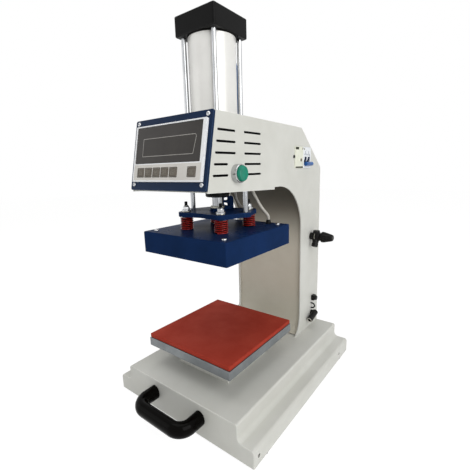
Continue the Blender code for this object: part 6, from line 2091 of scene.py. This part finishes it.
@dataclass
class AirService:
    """The pressure regulator, the air inlet and the fuse on the right of the column."""

    face: float = 86.5
    regulator_at: Pair = REGULATOR_AT
    inlet_at: Pair = INLET_AT
    fuse_at: Pair = FUSE_AT
    port_out: float = 14.3
    port_slope: float = 24
    knob_out: float = 27.1
    knob_grooves: int = 12
    groove_radius: float = 1.25
    inlet_out: float = 9.3
    inlet_slope: float = 15
    clip_at: Pair = (190, 115)
    body_rings: tuple[Pair, ...] = (
        (6.5, -17.5), (6.5, 0.3), (8, 0.3), (8, 6.3), (9.9, 6.3), (10.5, 6.9), (10.5, 12.6), (10.1, 13),
        (10.1, 13.8), (10.5, 14.2), (10.5, 21.5), (9.7, 22.3), (7.5, 22.3), (7.5, 26.4), (7, 26.8),
    )
    knob_rings: tuple[Pair, ...] = (
        (10.6, 0), (11.7, 0.6), (12, 1.6), (11.8, 6), (7.9, 21.8), (7.2, 24.2), (6.2, 25.6), (5.4, 26),
        (4.6, 25.5), (2, 25.4),
    )

    def regulator(self) -> None:
        """Moulds the regulator with its two ports, and its ribbed knob."""
        y, z = self.regulator_at
        centre = (self.face, y, z)
        body = turn("body", self.body_rings, centre, (1, 0, 0))
        middle = (self.face + self.port_out, y, z)
        top = turn("top", [(7.6, 0), (7.6, 12.8), (6.8, 14)], middle, (0, 0, 1), ROUND)
        slope = math.radians(self.port_slope)
        rings = [(7.2, 0), (7.2, 13), (6.4, 13.6), (6.4, 15.4), (7.2, 16), (7.2, 23), (6.4, 24)]
        low = turn("low", rings, middle, (0, -math.sin(slope), -math.cos(slope)), ROUND)
        carve(body, top, low, operation="UNION")
        body.name = "regulator_case"
        fit(painted(body, MOULDED_NYLON), "frame", "black_plastic", "regulator_body")
        rings = [(10.15, 12.7), (10.7, 12.7), (10.7, 14.1), (10.15, 14.1)]
        band = turn("regulator_band", rings, centre, (1, 0, 0), pierced=True)
        fit(painted(band, ZINC_STEEL), "frame", "steel")
        start = self.face + self.knob_out
        knob = turn("knob", self.knob_rings, (start, y, z), (1, 0, 0), steps=LARGE)
        grooves = []
        for i in range(self.knob_grooves):
            spin = 2 * math.pi * (i + 0.25) / self.knob_grooves
            out = Vector((0, math.cos(spin), math.sin(spin)))
            low_end = Vector((start - 5, y, z)) + out * 13.6
            high_end = Vector((start + 31, y, z)) + out * 6.6
            grooves.append(wire("groove", [low_end, high_end], self.groove_radius, 2))
        carve(knob, *grooves)
        knob.name = "pressure_dial"
        fit(painted(knob, MOULDED_NYLON), "pressure_knob", "black_plastic", "regulator_knob")

    def inlet(self) -> None:
        """Moulds the elbow that the workshop's air hose pushes into."""
        y, z = self.inlet_at
        slope = math.radians(self.inlet_slope)
        corner = Vector((self.face + self.inlet_out, y, z))
        way = Vector((0, -math.cos(slope), -math.sin(slope)))
        rings = [(4.2, -6), (4.2, 0.3), (6.2, 0.3), (6.2, 3.4), (5.4, 3.8), (5.4, 13.6), (4.6, 14.7)]
        body = turn("body", rings, (self.face, y, z), (1, 0, 0), ROUND)
        rings = [(6.2, -5.4), (6.8, -4.6), (6.8, 20), (6.4, 20.5)]
        rings += [(6.4, 22), (6.8, 22.5), (6.8, 28.2), (6.2, 29)]
        outlet = turn("outlet", rings, corner, way, ROUND)
        bore = turn("bore", [(4.2, 15), (4.2, 34)], corner, way, ROUND)
        carve(body, outlet, operation="UNION")
        carve(body, bore)
        body.name = "inlet_elbow"
        fit(painted(body, MOULDED_NYLON), "frame", "black_plastic", "air_inlet_elbow")
        rings = [(4.25, 28.6), (5.3, 29.1), (5.6, 29.6), (5.5, 30.2), (4.25, 30.2)]
        collet = turn("inlet_collet", rings, corner, way, ROUND, pierced=True)
        fit(painted(collet, ACETAL), "frame", "black_plastic")

    def fuse(self) -> None:
        """Moulds the fuse holder, with a slot in its cap."""
        y, z = self.fuse_at
        holder = block("holder", (self.face + 0.3, y - 6, z - 6.25), (self.face + 8, y + 6, z + 6.25), 1, 3)
        cap = turn("cap", [(5.6, 0), (5.6, 3.2), (5, 4)], (self.face + 8, y, z), (1, 0, 0), ROUND)
        stem = turn("stem", [(5, -26), (5, 2)], (self.face, y, z), (1, 0, 0), ROUND)
        carve(holder, stem, cap, operation="UNION")
        carve(holder, block("slot", (self.face + 11, y - 4, z - 0.7), (self.face + 14, y + 4, z + 0.7)))
        holder.name = "fuse_case"
        fit(painted(holder, MOULDED_NYLON), "frame", "black_plastic", "fuse_holder")

    def clip(self) -> None:
        """Bends the wire clip that hangs between the fuse and the inlet."""
        y, z = self.clip_at
        bends = ((-1, 6), (2, 6), (7, 5), (10, 0), (6, -5), (1, -6))
        path = [(self.face + out, y, z + up) for out, up in bends]
        clip = wire("hose_clip", smooth_route(path, 5), 1.7, 3)
        fit(painted(clip, BLACK_STEEL), "frame", "steel")

    def build(self) -> None:
        """Builds the air service."""
        self.regulator()
        self.inlet()
        self.fuse()
        self.clip()


@dataclass
class Leads:
    """The heater's lead and its sensor's lead, from the head's plate down to their glands.

    They hang between the fixed head and the ram.
    """

    head_top: float = 419.4
    head_low: float = 411.4
    gland_top: float = 340
    straight: float = 4
    lower_straight: float = 9

    def lead(
        self, name: str, node: str, finish: Finish, ends: Sequence[Pair], radius: float, bows: Sequence[Point]
    ) -> None:
        """Hangs one lead.

        Args:
            name: The piece's name.
            node: The CAD node that it stands for.
            finish: Its finish.
            ends: The (x, y) of its upper end and of its gland.
            radius: Its radius.
            bows: The share of the span, sideways, back and down, of each point that it bows through.
        """
        (top_x, top_y), (low_x, low_y) = ends
        below = Vector((top_x, top_y, self.head_low - self.straight))
        above = Vector((low_x, low_y, self.gland_top + self.lower_straight))
        span = above - below
        bends = [below + Vector((span.x * side, span.y * back, span.z * down)) for side, back, down in bows]
        stops = [(top_x, top_y, self.head_top), below, *bends, above, (low_x, low_y, self.gland_top)]
        route = smooth_route(stops, 10)
        run = painted(wire(name, route, radius, 4), finish)
        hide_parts(node)
        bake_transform(run)
        LOG.info("%s bends between frame and ram", name)

    def build(self) -> None:
        """Hangs both leads."""
        bows = ((0.09, 0.5, 0.44), (0.42, 0.74, 0.7))
        self.lead("heater_cable", "heater_lead", BRAIDED_SLEEVE, ((44, 8), (59, 42)), 3.1, bows)
        bows = ((0.02, 0.2, 0.32), (0.16, 0.78, 0.58))
        self.lead("sensor_cable", "sensor_lead", SILICONE_LEAD, ((3.5, 8.5), (23.5, 20)), 2.1, bows)


def finish_kept_nodes(nodes: dict[str, Piece]) -> None:
    """Gives the CAD nodes whose own shape stays their finish.

    Args:
        nodes: The CAD nodes by name.
    """
    kept = {"head_plate": POWDER_COAT, "control_board": SOLDER_RESIST, "solenoid_valve": BLACK_STEEL}
    for name, finish in kept.items():
        slots = nodes[name].material_slots
        for slot in slots:
            slot.material = finish.material()
        LOG.info("%s keeps its shape, in %s", name, finish.name)


def main() -> None:
    """Builds the press and its studio."""
    logging.basicConfig(level=logging.INFO, format="%(name)s: %(message)s")
    Studio().build()
    finish_kept_nodes(frame["nodes"])
    parts: tuple[type, ...] = (
        Base,
        LowerPlaten,
        HeatPlaten,
        Ram,
        Cylinder,
        HeadAndColumn,
        ControlPanel,
        StartButton,
        Breaker,
        AirService,
        Leads,
    )
    for part in parts:
        part().build()
        LOG.info("%s is built", part.__name__)
    deselect()


if __name__ == "__main__":
    main()
